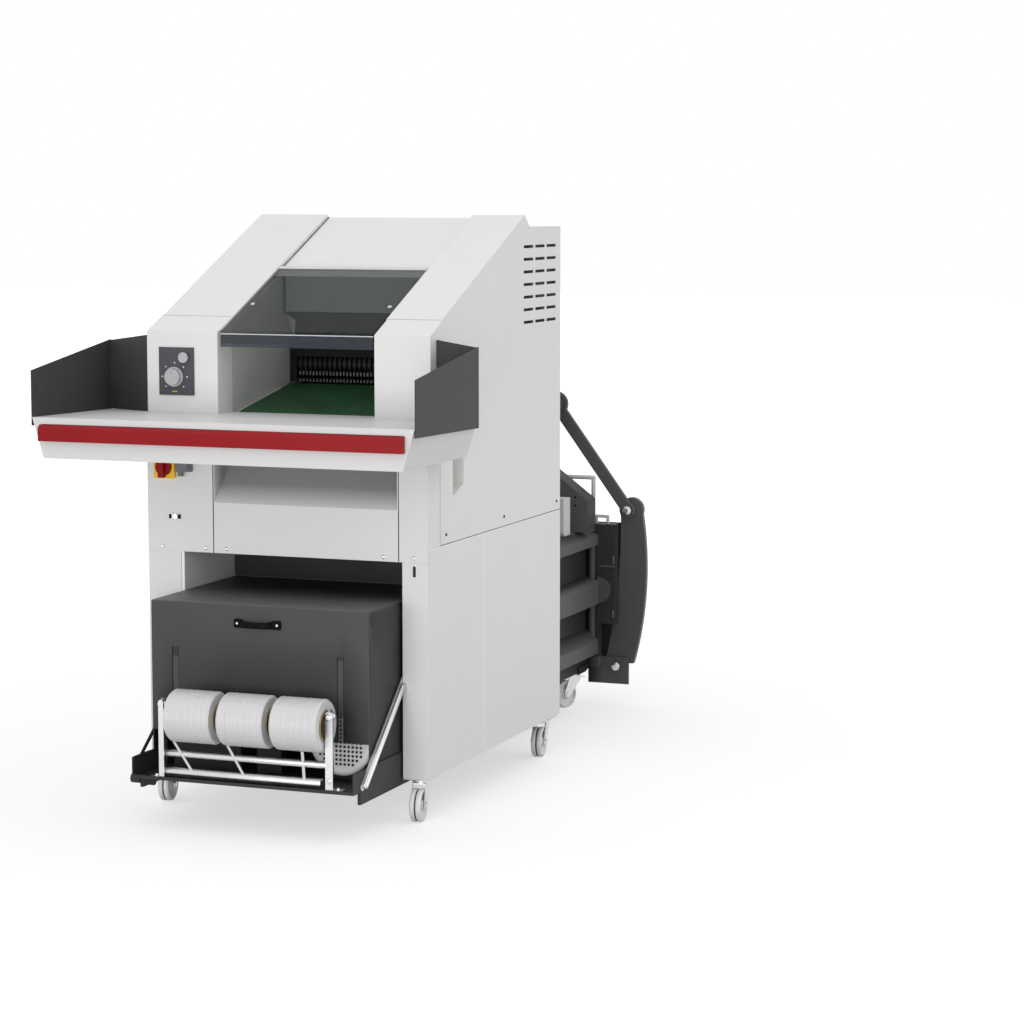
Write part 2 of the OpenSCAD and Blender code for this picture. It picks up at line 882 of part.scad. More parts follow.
// Upright panel between two points on plan, with its own height at each end
module panel_between(a, b, low_a, low_b, high_a, high_b, t) {
  run = norm([b[0] - a[0], b[1] - a[1]]);
  translate([a[0], a[1], 0]) rotate([0, 0, atan2(b[1] - a[1], b[0] - a[0])]) rotate([90, 0, 0])
    linear_extrude(t) polygon([[0, low_a], [run, low_b], [run, high_b], [0, high_a]]);
}

// Side wing: a panel beside the table, folded in to meet the column
module wing(edge, meet_x, meet_y) {
  y0 = -table_reach;
  y1 = table_back;
  low_front = table_top(y0) - wing_drop;
  low_back = table_top(y1) - wing_drop;
  along_x(edge, edge + wing_t) polygon([
    [y0, low_front], [y1, low_back], [y1, table_z + wing_fold_h], [y0, table_z + wing_h]
  ]);
  panel_between([meet_x, meet_y], [edge + wing_t / 2, y1 - wing_t / 2], table_top(meet_y), table_top(y1),
    table_z + wing_col_h, table_z + wing_fold_h - wing_t, wing_t);
}

module wing_right() {
  color(black) placed() wing(table_r, half + col_over, wing_in_r);
}

module wing_left() {
  color(black) placed() mirror([1, 0, 0]) wing(-table_l, half + col_over, wing_in_l);
}

// Push bar along the table's front, on two guide pins
module safety_bar() {
  x0 = table_x - bar_l / 2;
  color(red) placed() union() {
    along_x(x0, x0 + bar_l) polygon([
      [bar_y, bar_z], [bar_y, bar_z + bar_h], [bar_y - bar_t + bar_edge, bar_z + bar_h],
      [bar_y - bar_t, bar_z + bar_h - bar_edge], [bar_y - bar_t, bar_z]
    ]);
    for (dx = [-bar_pin_x, bar_pin_x]) {
      rod_y(table_x + dx, bar_y - eps, -table_reach + sheet + 12, bar_z + bar_h / 2, bar_pin_r);
    }
  }
}

// Control plate on the left column
knob_shaft_r = 5;
button_stem_r = 8;
ctrl_face = col_y - ctrl_t;
module control_plate() {
  color(dark) placed() difference() {
    box(ctrl_x - ctrl_w / 2, ctrl_x + ctrl_w / 2, ctrl_face, col_y, ctrl_z, ctrl_z + ctrl_h);
    rod_y(knob_x, ctrl_face - eps, col_y - 1, knob_z, knob_shaft_r + fit);
    rod_y(button_x, ctrl_face - eps, col_y + eps, button_z, button_stem_r + fit);
  }
}

module control_knob() {
  knob_l = 20;
  mark_w = 4;
  color(steel) placed() difference() {
    union() {
      rod_y(knob_x, ctrl_face - clear - knob_l, ctrl_face - clear, knob_z, knob_r - 5);
      rod_y(knob_x, ctrl_face - clear - 6, ctrl_face - clear, knob_z, knob_r);
      rod_y(knob_x, ctrl_face - clear - eps, col_y - 1 - clear, knob_z, knob_shaft_r);
    }
    box(knob_x - mark_w / 2, knob_x + mark_w / 2, ctrl_face - clear - knob_l - eps, ctrl_face - clear - knob_l + 2,
      knob_z + 6, knob_z + knob_r);
  }
}

button_travel = 2.5;
module start_button() {
  cap_l = 7;
  gap = button_travel + clear;
  color(steel) placed() union() {
    rod_y(button_x, ctrl_face - gap - cap_l, ctrl_face - gap, button_z, button_r);
    rod_y(button_x, ctrl_face - gap - eps, col_y - button_travel - clear, button_z, button_stem_r);
  }
}

// Main switch on the left front panel
switch_t = 14;
switch_shaft_r = 7;
switch_face = -sheet - switch_t;
module switch_base() {
  corner = 6;
  w = switch_w / 2 - corner;
  color(yellow) placed() difference() {
    hull() {
      for (dx = [-w, w], dz = [-w, w]) rod_y(switch_x + dx, switch_face, -sheet, switch_z + dz, corner, $fn = 32);
    }
    rod_y(switch_x, switch_face - eps, -sheet - 2, switch_z, switch_shaft_r + fit);
  }
}

module switch_handle() {
  disc_r = 26;
  disc_t = 8;
  grip_w = 18;
  grip_l = 62;
  grip_t = 16;
  face = switch_face - clear;
  color(red) placed() union() {
    rod_y(switch_x, face - disc_t, face, switch_z, disc_r);
    box(switch_x - grip_w / 2, switch_x + grip_w / 2, face - disc_t - grip_t, face - disc_t + eps,
      switch_z - grip_l / 2, switch_z + grip_l / 2);
    rod_y(switch_x, face - eps, -sheet - 2 - clear, switch_z, switch_shaft_r);
  }
}

// Signal socket beside the main switch
module socket() {
  body_w = 46;
  body_h = 52;
  z = switch_z + 14;
  color(pale) placed() union() {
    box(socket_x - body_w / 2, socket_x + body_w / 2, -sheet - 26, -sheet, z - body_h / 2, z + body_h / 2);
    rod_y(socket_x + 6, -sheet - 40, -sheet - 25, z - 4, 17);
    translate([socket_x - 12, -sheet - 14, z - body_h / 2 - 14]) cylinder(h = 15, r = 9);
  }
}

module key() {
  head_w = 16;
  head_h = 20;
  head_t = 3;
  color(steel) placed() union() {
    rod_y(key_x, -sheet - 5, 12, key_z, key_r);
    box(key_x - head_t / 2, key_x + head_t / 2, -sheet - 5 - head_w, -sheet - 5 + eps,
      key_z - head_h / 2, key_z + head_h / 2);
  }
}

side_knob_stem = 6;
side_knob_travel = 3;
module side_knob() {
  x = half - pocket_d;
  gap = side_knob_travel + clear;
  color(yellow) placed() union() {
    rod_x(x + gap, x + gap + 10, side_knob_y, side_knob_z, side_knob_r);
    rod_x(x - sheet, x + gap + eps, side_knob_y, side_knob_z, side_knob_stem);
  }
}

// Swivel fork of a caster at its own origin, with the wheel in front of the swivel
module fork() {
  cheek_top = fork_top - 10;
  slim = 13;
  brake_l = 34;
  union() {
    rod_z(0, 0, fork_top, base_z + 16, pin_r);
    rod_z(0, 0, fork_top - 12, fork_top, neck_r);
    rod_z(0, 0, fork_top - 8, fork_top - 3, neck_r + 4);
    box(-cheek_in - cheek_t, cheek_in + cheek_t, -neck_r - 4, neck_r, cheek_top - 5, cheek_top);
    for (x = [-cheek_in - cheek_t, cheek_in]) {
      along_x(x, x + cheek_t) polygon([
        [neck_r, cheek_top], [neck_r, cheek_top - 12], [-trail + slim, wheel_r - slim / 2], [-trail, wheel_r - slim],
        [-trail - slim, wheel_r - slim / 2], [-trail - slim, wheel_r + slim / 2], [-neck_r - 4, cheek_top]
      ]);
    }
    rod_x(-cheek_in - cheek_t - 5, cheek_in + cheek_t + 5, -trail, wheel_r, axle_r);
    for (x = [-cheek_in - cheek_t - 5, cheek_in + cheek_t]) rod_x(x, x + 5, -trail, wheel_r, axle_r + 4, $fn = 6);
    translate([0, neck_r - 2, cheek_top - 5]) rotate([-14, 0, 0]) translate([-11, 0, 0]) cube([22, brake_l, 4]);
  }
}

// Caster wheel at its fork's origin, with a crowned tread and a hub
module wheel() {
  hub_r = 16;
  crown = 5;
  rim_r = wheel_r - 11;
  w = wheel_w / 2;
  color(pale) translate([0, -trail, wheel_r]) rotate([0, 90, 0]) rotate_extrude() polygon([
    [axle_r + fit, -w - 1], [hub_r, -w - 1], [hub_r, -w + 6], [rim_r, -w + 6], [rim_r, -w], [wheel_r - crown, -w],
    [wheel_r, -w + crown + 3], [wheel_r, w - crown - 3], [wheel_r - crown, w], [rim_r, w], [rim_r, w - 6],
    [hub_r, w - 6], [hub_r, w + 1], [axle_r + fit, w + 1]
  ]);
}

// Puts a caster piece under its swivel
module under(x, y, turn) {
  placed() translate([x, y, 0]) rotate([0, 0, turn]) children();
}

module fork_front_left() { color(steel) under(swivel_lx, front_swivel_y, caster_turn) fork(); }
module fork_front_right() { color(steel) under(swivel_rx, front_swivel_y, caster_turn) fork(); }
module fork_rear_left() { color(steel) under(swivel_lx, rear_swivel_y, caster_turn) fork(); }
module fork_rear_right() { color(steel) under(swivel_rx, rear_swivel_y, caster_turn) fork(); }
module press_fork_left() { color(steel) under(press_x - press_swivel_x, press_swivel_y, -press_turn) fork(); }
module press_fork_right() { color(steel) under(press_x + press_swivel_x, press_swivel_y, -press_turn) fork(); }
module wheel_front_left() { under(swivel_lx, front_swivel_y, caster_turn) wheel(); }
module wheel_front_right() { under(swivel_rx, front_swivel_y, caster_turn) wheel(); }
module wheel_rear_left() { under(swivel_lx, rear_swivel_y, caster_turn) wheel(); }
module wheel_rear_right() { under(swivel_rx, rear_swivel_y, caster_turn) wheel(); }
module press_wheel_left() { under(press_x - press_swivel_x, press_swivel_y, -press_turn) wheel(); }
module press_wheel_right() { under(press_x + press_swivel_x, press_swivel_y, -press_turn) wheel(); }

// Section of one side rib, from the channel's wall outwards
module rib_section() {
  wall = press_w / 2;
  out = press_w / 2 + rib_out;
  soft = 10;
  upper = press_top - 28;
  middle_z = press_z + 222;
  middle_h = 92;
  lower = press_z + 40;
  polygon([[wall, press_top], [out, upper], [out, upper - 34], [wall, upper - 42]]);
  polygon([[wall, lower + 93], [out, lower + 50], [out, lower], [wall, lower]]);
  polygon([
    [wall, middle_z + middle_h + soft], [out - soft, middle_z + middle_h], [out, middle_z + middle_h - soft],
    [out, middle_z], [wall, middle_z]
  ]);
}

// Everything that is alike on the two sides of the press, drawn for its right side
module press_side() {
  post_x = press_w / 2 + rib_out / 2 - 4;
  lug_r_big = 48;
  lug_z = press_z + 275;
  along_y(rib_y0, press_end - flange_d + eps) rib_section();
  rod_z(post_x, press_end - flange_d - 8, press_z + 50, press_top - 50, 14);
  box(press_swivel_x - 46, press_swivel_x + 46, press_swivel_y - 46, press_swivel_y + 46, base_z, press_z + eps);
  box(press_w / 2 - rail_w, press_w / 2, press_y, press_end - 20, rail_z, press_z + eps);
  translate([press_swivel_x, press_swivel_y, 0]) caster_mount(0, 0);
  along_y(press_end - flange_d - 14, press_end - flange_d - fit) difference() {
    translate([flange_half, lug_z]) circle(lug_r_big);
    translate([flange_half - 2 * lug_r_big - eps, lug_z - lug_r_big]) square(2 * lug_r_big);
  }
}

// Welded press channel with ribs, rear flange and hinge lugs
module press_channel() {
  difference() {
    union() {
      box(press_l, press_r, press_y, press_end - eps, press_z, press_top);
      translate([press_x, 0, 0]) {
        press_side();
        mirror([1, 0, 0]) press_side();
        box(-flange_half, flange_half, press_end - flange_d, press_end, flange_z0, flange_top);
      }
      for (z = hinge_lugs) {
        box(hinge_x - lug_r, hinge_x + lug_r, press_end - eps, hinge_y, z, z + lug_h);
        rod_z(hinge_x, hinge_y, z, z + lug_h, lug_r);
      }
      box(cover_l + sheet, cover_r - sheet, press_y, press_y + sheet, press_z, front_z - 6);
    }
    translate([press_x, 0, 0]) {
      box(-chamber_half, chamber_half, press_y - eps, press_end + eps, press_z + press_wall, press_top - press_wall);
      box(-chamber_half, chamber_half, hopper_y0, hopper_y1, press_top - 2 * press_wall, press_top + eps);
      for (s = [-1, 1]) {
        rod_z(s * press_swivel_x, press_swivel_y, base_z - caster_plate - eps, press_z, pin_r + fit);
      }
    }
    for (z = hinge_lugs) rod_z(hinge_x, hinge_y, z - eps, z + lug_h + eps, hinge_r + fit);
  }
}

// Plate bolted on each side of the rear flange
module flange_wing() {
  box(flange_half + fit, flange_half + flange_ext, press_end - flange_d, press_end, press_z + 150, flange_top);
}

// Hopper between the cutting unit's shelf and the channel
module press_hopper() {
  w = chamber_half + press_wall;
  difference() {
    box(-w, w, hopper_y0 - press_wall, hopper_y1 + press_wall, press_top + fit, shelf_low);
    box(-chamber_half, chamber_half, hopper_y0, hopper_y1, press_top - eps, shelf_low + eps);
  }
}

// Bracket bolted to the flange, with the lever's bolt
module lock_bracket() {
  head_r = bolt_r + 5;
  rear = press_end + bracket_t;
  box(bolt_x - 108, bolt_x + 46, press_end + fit, rear, bolt_z - 66, bolt_z + 32);
  rod_y(bolt_x, press_end - 9, press_end + eps, bolt_z, head_r);
  rod_y(bolt_x, press_end, lever_y + lever_t + 6, bolt_z, bolt_r);
}

// Post on the flange, with the hook's pin
module lock_post() {
  front = press_end - flange_d - 20;
  rear = press_end - 14;
  difference() {
    box(hook_x - 60, hook_x + 16, front, rear, flange_top + fit, hook_z + 36);
    rod_y(hook_x, rear - 30, rear + eps, hook_z, hook_pin_r + fit);
  }
  rod_y(hook_x, rear - 30 + fit, link_y + link_t, hook_z, hook_pin_r);
}

module press_box() {
  color(dark) placed() {
    press_channel();
    translate([press_x, 0, 0]) {
      flange_wing();
      mirror([1, 0, 0]) flange_wing();
      press_hopper();
      lock_bracket();
      lock_post();
      rear_guard();
    }
  }
}

// Guard over the press behind the hopper: a boxed plate with slanted shoulders
module rear_guard() {
  y0 = press_end - 200;
  y1 = press_end - 116;
  w = press_w / 2 + 54;
  top = press_top + 228;
  shoulder = press_top + 116;
  lean = 149;
  along_y(y0, y1) polygon([
    [-w, press_top + fit], [w, press_top + fit], [w, shoulder], [w - lean, top], [-w + lean, top], [-w, shoulder]
  ]);
}

// Two tube handles on the rear flange and the junction box beside the guard
module rear_fittings() {
  big_r = 8;
  big_h = 166;
  big_w = 126;
  small_r = 6;
  small_h = 27;
  small_w = 44;
  box_w = 46;
  box_d = 60;
  box_h = 133;
  box_back = 330;
  box_x = press_w / 2 - 33;
  box_y = press_end - box_back;
  big_x = press_w / 2 + 12;
  small_x = flange_half + 28;
  color(pale) placed() translate([press_x, 0, 0]) {
    loop_handle(big_x - big_w, big_x, press_end - big_r - 6, flange_top + big_h, big_r);
    loop_handle(small_x - small_w, small_x, press_end - flange_d / 2, flange_top + small_h, small_r);
    box(box_x, box_x + box_w, box_y, box_y + box_d, press_top, press_top + box_h);
  }
}

module loop_handle(x0, x1, y, top, r) {
  union() {
    for (x = [x0, x1]) {
      rod_z(x, y, flange_top, top, r);
      translate([x, y, top]) sphere(r);
    }
    rod_x(x0, x1, y, top, r);
  }
}

// Rear door with ribs, hinge arms and its pin
module rear_door() {
  x0 = press_x - chamber_half;
  x1 = press_x + chamber_half - 4;
  rib_h = 36;
  ribs = 4;
  step = (door_z1 - door_z0 - rib_h) / (ribs - 1);
  arm_low = hinge_lugs[0] + lug_h + clear;
  color(dark) placed() union() {
    box(x0, x1, door_y, door_y + door_t, door_z0, door_z1);
    for (i = [0 : ribs - 1]) {
      z = door_z0 + i * step;
      box(x0, x1, door_y + door_t - eps, door_y + door_t + door_rib, z, z + rib_h);
    }
    for (x = [x0, x1 - 14]) box(x, x + 14, door_y + door_t - eps, door_y + door_t + door_rib / 2, door_z0, door_z1);
    for (z = [arm_low, hinge_lugs[1] - clear - lug_h]) {
      box(hinge_x, x0 + 40, hinge_y - lug_r / 2, hinge_y + lug_r / 2, z, z + lug_h);
      rod_z(hinge_x, hinge_y, z, z + lug_h, lug_r);
    }
    rod_z(hinge_x, hinge_y, hinge_lugs[0] - 12, hinge_lugs[1] + lug_h + 12, hinge_r);
  }
}

// Curved lock lever between two arcs, with a boss at each pin
module lock_lever() {
  out_z = bolt_z + 360;
  out_x = bolt_x + 108;
  in_z = bolt_z + 512;
  in_x = bolt_x + 11;
  boss_x = link_x + 8;
  boss_top = 45;
  boss_low = 38;
  color(dark) placed() translate([press_x, 0, 0]) difference() {
    union() {
      along_y(lever_y, lever_y + lever_t) {
        intersection() {
          difference() {
            translate([out_x - lever_out_r, out_z]) circle(lever_out_r, $fn = 360);
            translate([in_x - lever_in_r, in_z]) circle(lever_in_r, $fn = 360);
          }
          translate([bolt_x - 60, bolt_z + 10]) square([200, link_z - bolt_z - 4]);
        }
        translate([boss_x, link_z]) circle(boss_top);
        translate([bolt_x, bolt_z]) circle(boss_low);
      }
      rod_y(link_x, link_y - 7, lever_y + eps, link_z, link_pin_r);
    }
    rod_y(bolt_x, lever_y - eps, lever_y + lever_t + eps, bolt_z, bolt_r + fit);
  }
}

// Flat link with an eye on the lever's pin and an open hook on the post's pin
module link_bar() {
  eye_r = link_w / 2 + 4;
  hook_r = hook_pin_r + 32;
  slack = 5;
  tip_slack = 16;
  tip_h = 16;
  seat = hook_pin_r + slack;
  tip = hook_pin_r + tip_slack;
  color(dark) placed() translate([press_x, 0, 0]) along_y(link_y, link_y + link_t) {
    translate([link_x, link_z]) rotate(link_deg) difference() {
      union() {
        translate([0, -link_w / 2]) square([link_len, link_w]);
        circle(eye_r);
        translate([link_len, 0]) circle(hook_r);
      }
      circle(link_pin_r + fit);
      translate([link_len - seat, -seat]) square([seat + tip, 2 * hook_r]);
      translate([link_len + tip - eps, tip_h]) square(hook_r);
    }
  }
}

// Sheet cover over the press drive, open below and behind
module drive_cover() {
  front = -cover_reach;
  slot_w = 22;
  slot_top = cover_z + 254;
  slot_l = cover_l + 69;
  slot_r = cover_r - 82 - slot_w;
  side_slot_y = front + 15;
  side_slot_h = 37;
  side_slot_z = cover_top - 12;
  color(dark) placed() difference() {
    union() {
      box(cover_l, cover_r, front, front + sheet, cover_z, cover_top);
      box(cover_l, cover_r, front, press_y, cover_top - sheet, cover_top);
      for (x = [cover_l, cover_r - sheet]) {
        box(x, x + sheet, front, press_y, cover_side_z, cover_top);
      }
    }
    for (x = [slot_l, slot_r]) box(x, x + slot_w, front - eps, front + sheet + eps, cover_z - eps, slot_top);
    box(cover_r - sheet - eps, cover_r + eps, side_slot_y, side_slot_y + 5, side_slot_z - side_slot_h, side_slot_z);
  }
}

// Bow handle on the drive cover
module cover_handle() {
  span = 160;
  x0 = (cover_l + cover_r) / 2 - 86;
  x1 = x0 + span;
  foot = 26;
  z = cover_top - 57;
  out = 34;
  t = 12;
  h = 16;
  y = -cover_reach;
  color(black) placed() union() {
    for (x = [x0, x1 - foot]) {
      box(x, x + foot, y - 8, y, z - h, z + h);
      box(x + (x == x0 ? foot - t : 0), x + (x == x0 ? foot : t), y - out, y, z - h + 4, z + h - 4);
    }
    box(x0 + foot - t, x1 - foot + t, y - out, y - out + t, z - h + 4, z + h - 4);
  }
}

// Motor with a perforated cowl, oil tank and hydraulic cylinder
module drive_unit() {
  cowl_t = 3;
  cowl_d = 50;
  room = 40;
  saddle = 40;
  tank_h = 331;
  foot_y0 = motor_y + room;
  tank_x0 = cover_l + room;
  tank_x1 = press_x - barrel_r - 30;
  count = floor(motor_r / cowl_pitch);
  color(pale) placed() difference() {
    union() {
      rod_y(motor_x, motor_y, press_y - room, motor_z, motor_r - 6);
      rod_y(motor_x, motor_y, motor_y + cowl_d + 10, motor_z, motor_r);
      box(motor_x - 60, motor_x + 60, foot_y0, press_y - room - 20, tray_z, motor_z);
      box(tank_x0, tank_x1, -cover_reach + 60, press_y - room, tray_z, tray_z + tank_h);
      rod_y(press_x, barrel_y0, press_y, ram_z, barrel_r);
      box(press_x - saddle, press_x + saddle, barrel_y0 + 20, barrel_y0 + 20 + saddle, tray_z, ram_z);
      box(press_x - saddle, press_x + saddle, press_y - 20 - saddle, press_y - 20, tray_z, ram_z);
    }
    rod_y(motor_x, motor_y + cowl_t, motor_y + cowl_d, motor_z, motor_r - 4);
    for (i = [-count : count], k = [-count : count]) {
      if (norm([i, k]) * cowl_pitch < motor_r - 12) {
        rod_y(motor_x + i * cowl_pitch, motor_y - eps, motor_y + cowl_t + eps, motor_z + k * cowl_pitch, cowl_hole);
      }
    }
    rod_y(press_x, barrel_y0 + 20, press_y + eps, ram_z, rod_r + fit);
  }
}

// Press plate with its skirt and the piston rod
module ram() {
  side = chamber_half - 2;
  skirt = 120;
  color(steel) placed() union() {
    box(press_x - side, press_x + side, ram_y, ram_y + ram_t, press_z + press_wall, press_top - press_wall - 3);
    for (x = [-side, side - 12]) {
      box(press_x + x, press_x + x + 12, ram_y - skirt + 90, ram_y + eps, press_z + press_wall, ram_z);
    }
    rod_y(press_x, barrel_y0 + 25, ram_y + eps, ram_z, rod_r);
  }
}

// Front tray on two runners, with side skirts and stays
module base_tray() {
  floor_t = 4;
  runner = 10;
  runner_z = 109;
  x0 = cover_l - sheet;
  x1 = cover_r + sheet;
  stay_w = 12;
  stay_t = 4;
  stay_low = [-tray_reach + 60, cover_side_z - 2];
  stay_top = [-30, 400];
  color(black) placed() union() {
    box(x0, x1, -tray_reach, press_y, tray_z - floor_t, tray_z);
    box(x0, x1, -tray_reach, -tray_reach + sheet, tray_z - floor_t, tray_z + 6);
    for (x = [x0, x1 - sheet]) box(x, x + sheet, -tray_reach, press_y, tray_z - floor_t, cover_side_z + 3);
    for (x = [x0, x1 - runner]) {
      box(x, x + runner, -tray_reach + 50, press_y, runner_z, tray_z - floor_t + eps);
    }
    tray_stay(x0 - stay_t + eps / 2, stay_low, stay_top, stay_w, stay_t);
    tray_latch(x0);
  }
}

// Latch plate with two rollers at the tray's left front corner
module tray_latch(x) {
  t = 10;
  y0 = -tray_reach + 28;
  depth = 100;
  roller_r = 14;
  arm_z = tray_z - 40;
  box(x - t, x + eps, y0, y0 + depth, tray_z - 4, tray_z + 55);
  box(x - t, x + eps, y0 + depth - 4, y0 + depth + 20, arm_z, tray_z + 20);
  rod_x(x - 3 * t, x + eps, y0 + depth + 10, arm_z, roller_r);
  rod_x(x - 3 * t, x + eps, y0 + 29, tray_z - 17, roller_r);
  rod_x(x - 2 * t, x + eps, y0 + 31, tray_z + 17, roller_r / 2);
}

// Flat stay that runs up and back beside the cover
module tray_stay(x, low, top, w, t) {
  lean = atan2(top[1] - low[1], top[0] - low[0]);
  run = norm([top[0] - low[0], top[1] - low[1]]);
  along_x(x, x + t) translate(low) rotate(lean) {
    circle(w / 2);
    translate([0, -w / 2]) square([run, w]);
    translate([run, 0]) circle(w / 2);
  }
}

// Stand for the strap rolls: end plates with bent feet, axle, guide rod and tube
module strap_stand() {
  foot = 40;
  ends = [stand_l, stand_rt];
  color(steel) placed() union() {
    for (x = ends) {
      box(x - plate_t / 2, x + plate_t / 2, stand_y - plate_w / 2, stand_y + plate_w / 2, tray_z, axle_z + 4);
      rod_x(x - plate_t / 2, x + plate_t / 2, stand_y, axle_z + 4, plate_w / 2);
    }
    box(stand_l - foot, stand_l, stand_y - plate_w / 2, stand_y + plate_w / 2, tray_z, tray_z + plate_t);
    box(stand_rt, stand_rt + foot, stand_y - plate_w / 2, stand_y + plate_w / 2, tray_z, tray_z + plate_t);
    rod_x(stand_l - 8, stand_rt + 8, stand_y, axle_z, stand_r);
    rod_x(stand_l, stand_rt, stand_y, guide_z, guide_r);
    rod_x(stand_l, stand_rt - tube_short, stand_y, tube_z, tube_r);
    tray_stay(cover_r + sheet, [-tray_reach + 57, tray_z + 11], [5, 425], 22, 4);
  }
}

// Strap roll on a core, with a slightly crowned winding
module roll(i) {
  x0 = roll_x0 + i * (roll_w + roll_gap);
  edge = 6;
  core_t = 6;
  lip = 3;
  w = roll_w;
  color([0.93, 0.93, 0.92]) placed() translate([x0, stand_y, roll_z]) rotate([0, 90, 0])
    rotate_extrude($fn = 96) polygon([
    [roll_core, 0], [roll_core + core_t, 0], [roll_core + core_t, lip], [roll_r - edge, lip], [roll_r, lip + edge],
    [roll_r, w - lip - edge], [roll_r - edge, w - lip], [roll_core + core_t, w - lip], [roll_core + core_t, w],
    [roll_core, w]
  ]);
}

module roll_left() { roll(0); }
module roll_mid() { roll(1); }
module roll_right() { roll(2); }

// Taut strap ends from under the rolls down to the front of the tube
module straps() {
  top_z = roll_z - sqrt(pow(roll_r, 2) - pow(tube_r, 2)) - clear;
  low_z = tube_z - 2;
  leans = [[0.01, 68], [0.04, 60], [0.49, 7]];
  color([0.95, 0.95, 0.95]) placed() {
    for (i = [0 : 2]) {
      x = roll_x0 + i * (roll_w + roll_gap) + leans[i][0] * roll_w;
      along_y(stand_y - tube_r - strap_t, stand_y - tube_r) polygon([
        [x, top_z], [x + strap_w, top_z], [x + strap_w + leans[i][1], low_z], [x + leans[i][1], low_z]
      ]);
    }
  }
}

leg_left();
leg_right();
lower_panel_left();
lower_panel_right();
side_panel_left();
side_panel_right();
back_cover();
front_panel_left();
front_panel_mid();
front_panel_right();
column_left();
column_right();
hood_left();
hood_main();
feed_flap();
flap_strip();
feed_chute();
cutter_upper();
cutter_lower();
conveyor_belt();
belt_roller();
feed_table();
wing_left();
wing_right();
safety_bar();
control_plate();
control_knob();
start_button();
switch_base();
switch_handle();
socket();
key();
side_knob();
fork_front_left();
fork_front_right();
fork_rear_left();
fork_rear_right();
wheel_front_left();
wheel_front_right();
wheel_rear_left();
wheel_rear_right();
press_fork_left();
press_fork_right();
press_wheel_left();
press_wheel_right();
press_box();
drive_cover();
cover_handle();
drive_unit();
ram();
rear_door();
lock_lever();
link_bar();
rear_fittings();
base_tray();
strap_stand();
roll_left();
roll_mid();
roll_right();
straps();
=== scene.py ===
import json
import math

import bmesh
import bpy
from mathutils import Matrix, Vector


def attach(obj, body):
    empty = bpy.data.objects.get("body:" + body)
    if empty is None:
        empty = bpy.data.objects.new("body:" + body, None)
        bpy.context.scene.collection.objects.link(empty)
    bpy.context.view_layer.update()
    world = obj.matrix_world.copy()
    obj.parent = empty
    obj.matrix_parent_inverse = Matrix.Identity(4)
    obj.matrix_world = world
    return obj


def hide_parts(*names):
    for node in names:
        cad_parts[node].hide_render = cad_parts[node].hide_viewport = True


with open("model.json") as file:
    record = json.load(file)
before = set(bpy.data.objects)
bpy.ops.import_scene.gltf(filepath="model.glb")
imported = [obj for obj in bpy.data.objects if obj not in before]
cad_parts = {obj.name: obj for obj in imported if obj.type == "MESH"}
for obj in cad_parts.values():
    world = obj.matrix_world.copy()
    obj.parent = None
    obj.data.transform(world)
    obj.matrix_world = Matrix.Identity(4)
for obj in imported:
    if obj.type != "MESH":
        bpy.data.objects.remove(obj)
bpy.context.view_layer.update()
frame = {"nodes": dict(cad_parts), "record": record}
nodes = frame["nodes"]

# Millimetres in the cabinet's own frame
MIDDLE_X = -27.0
MIDDLE_Y = 853.0
HALF_WIDTH = 462
BACK_Y = 1145
STAND_Y = -330
PRESS_X = 18
SLOPE = 345 / 796
SLOPE_FOOT_Y = 15
SLOPE_FOOT_Z = 1447

FRONT = (0, -1, 0)
BACK = (0, 1, 0)
LEFT = (-1, 0, 0)
RIGHT = (1, 0, 0)
UP = (0, 0, 1)
ORIGIN = Vector((0, 0, 0))
PHOTO_SIDE = 1024
PHOTO_FOCAL = 2814
SENSOR = 36


def at(x, y, z):
    """A point in the cabinet's own millimetres, as metres in the row frame."""
    return Vector(((x - MIDDLE_X) / 1000, (y - MIDDLE_Y) / 1000, z / 1000))


# Camera at the photograph's viewing angle
camera = bpy.data.objects.new("camera", bpy.data.cameras.new("camera"))
bpy.context.collection.objects.link(camera)
camera.location = at(3612.5, -7588.9, 1874.5)
look = Vector((-0.3531, 0.9286, -0.1141))
camera.rotation_euler = look.to_track_quat("-Z", "Y").to_euler()
camera.data.sensor_width = SENSOR
camera.data.lens = PHOTO_FOCAL / PHOTO_SIDE * SENSOR
camera.data.clip_end = 60
bpy.context.scene.camera = camera


# Materials
def new_material(name):
    material = bpy.data.materials.new(name)
    material.use_nodes = True
    tree = material.node_tree
    return material, tree, tree.nodes["Principled BSDF"]


def noise(tree, scale, detail=4.0, stretch=(1, 1, 1)):
    coord = tree.nodes.new("ShaderNodeTexCoord")
    mapping = tree.nodes.new("ShaderNodeMapping")
    mapping.inputs["Scale"].default_value = stretch
    texture = tree.nodes.new("ShaderNodeTexNoise")
    texture.inputs["Scale"].default_value = scale
    texture.inputs["Detail"].default_value = detail
    tree.links.new(coord.outputs["Object"], mapping.inputs["Vector"])
    tree.links.new(mapping.outputs["Vector"], texture.inputs["Vector"])
    return texture.outputs["Fac"]


def bands(tree, scale, axis="X", distortion=1.0):
    coord = tree.nodes.new("ShaderNodeTexCoord")
    texture = tree.nodes.new("ShaderNodeTexWave")
    texture.bands_direction = axis
    texture.inputs["Scale"].default_value = scale
    texture.inputs["Distortion"].default_value = distortion
    texture.inputs["Detail"].default_value = 2.0
    tree.links.new(coord.outputs["Object"], texture.inputs["Vector"])
    return texture.outputs["Fac"]


def ramp(tree, value, low, high, start=0.3, end=0.7):
    node = tree.nodes.new("ShaderNodeValToRGB")
    node.color_ramp.elements[0].position = start
    node.color_ramp.elements[1].position = end
    node.color_ramp.elements[0].color = (*low, 1)
    node.color_ramp.elements[1].color = (*high, 1)
    tree.links.new(value, node.inputs["Fac"])
    return node.outputs["Color"]


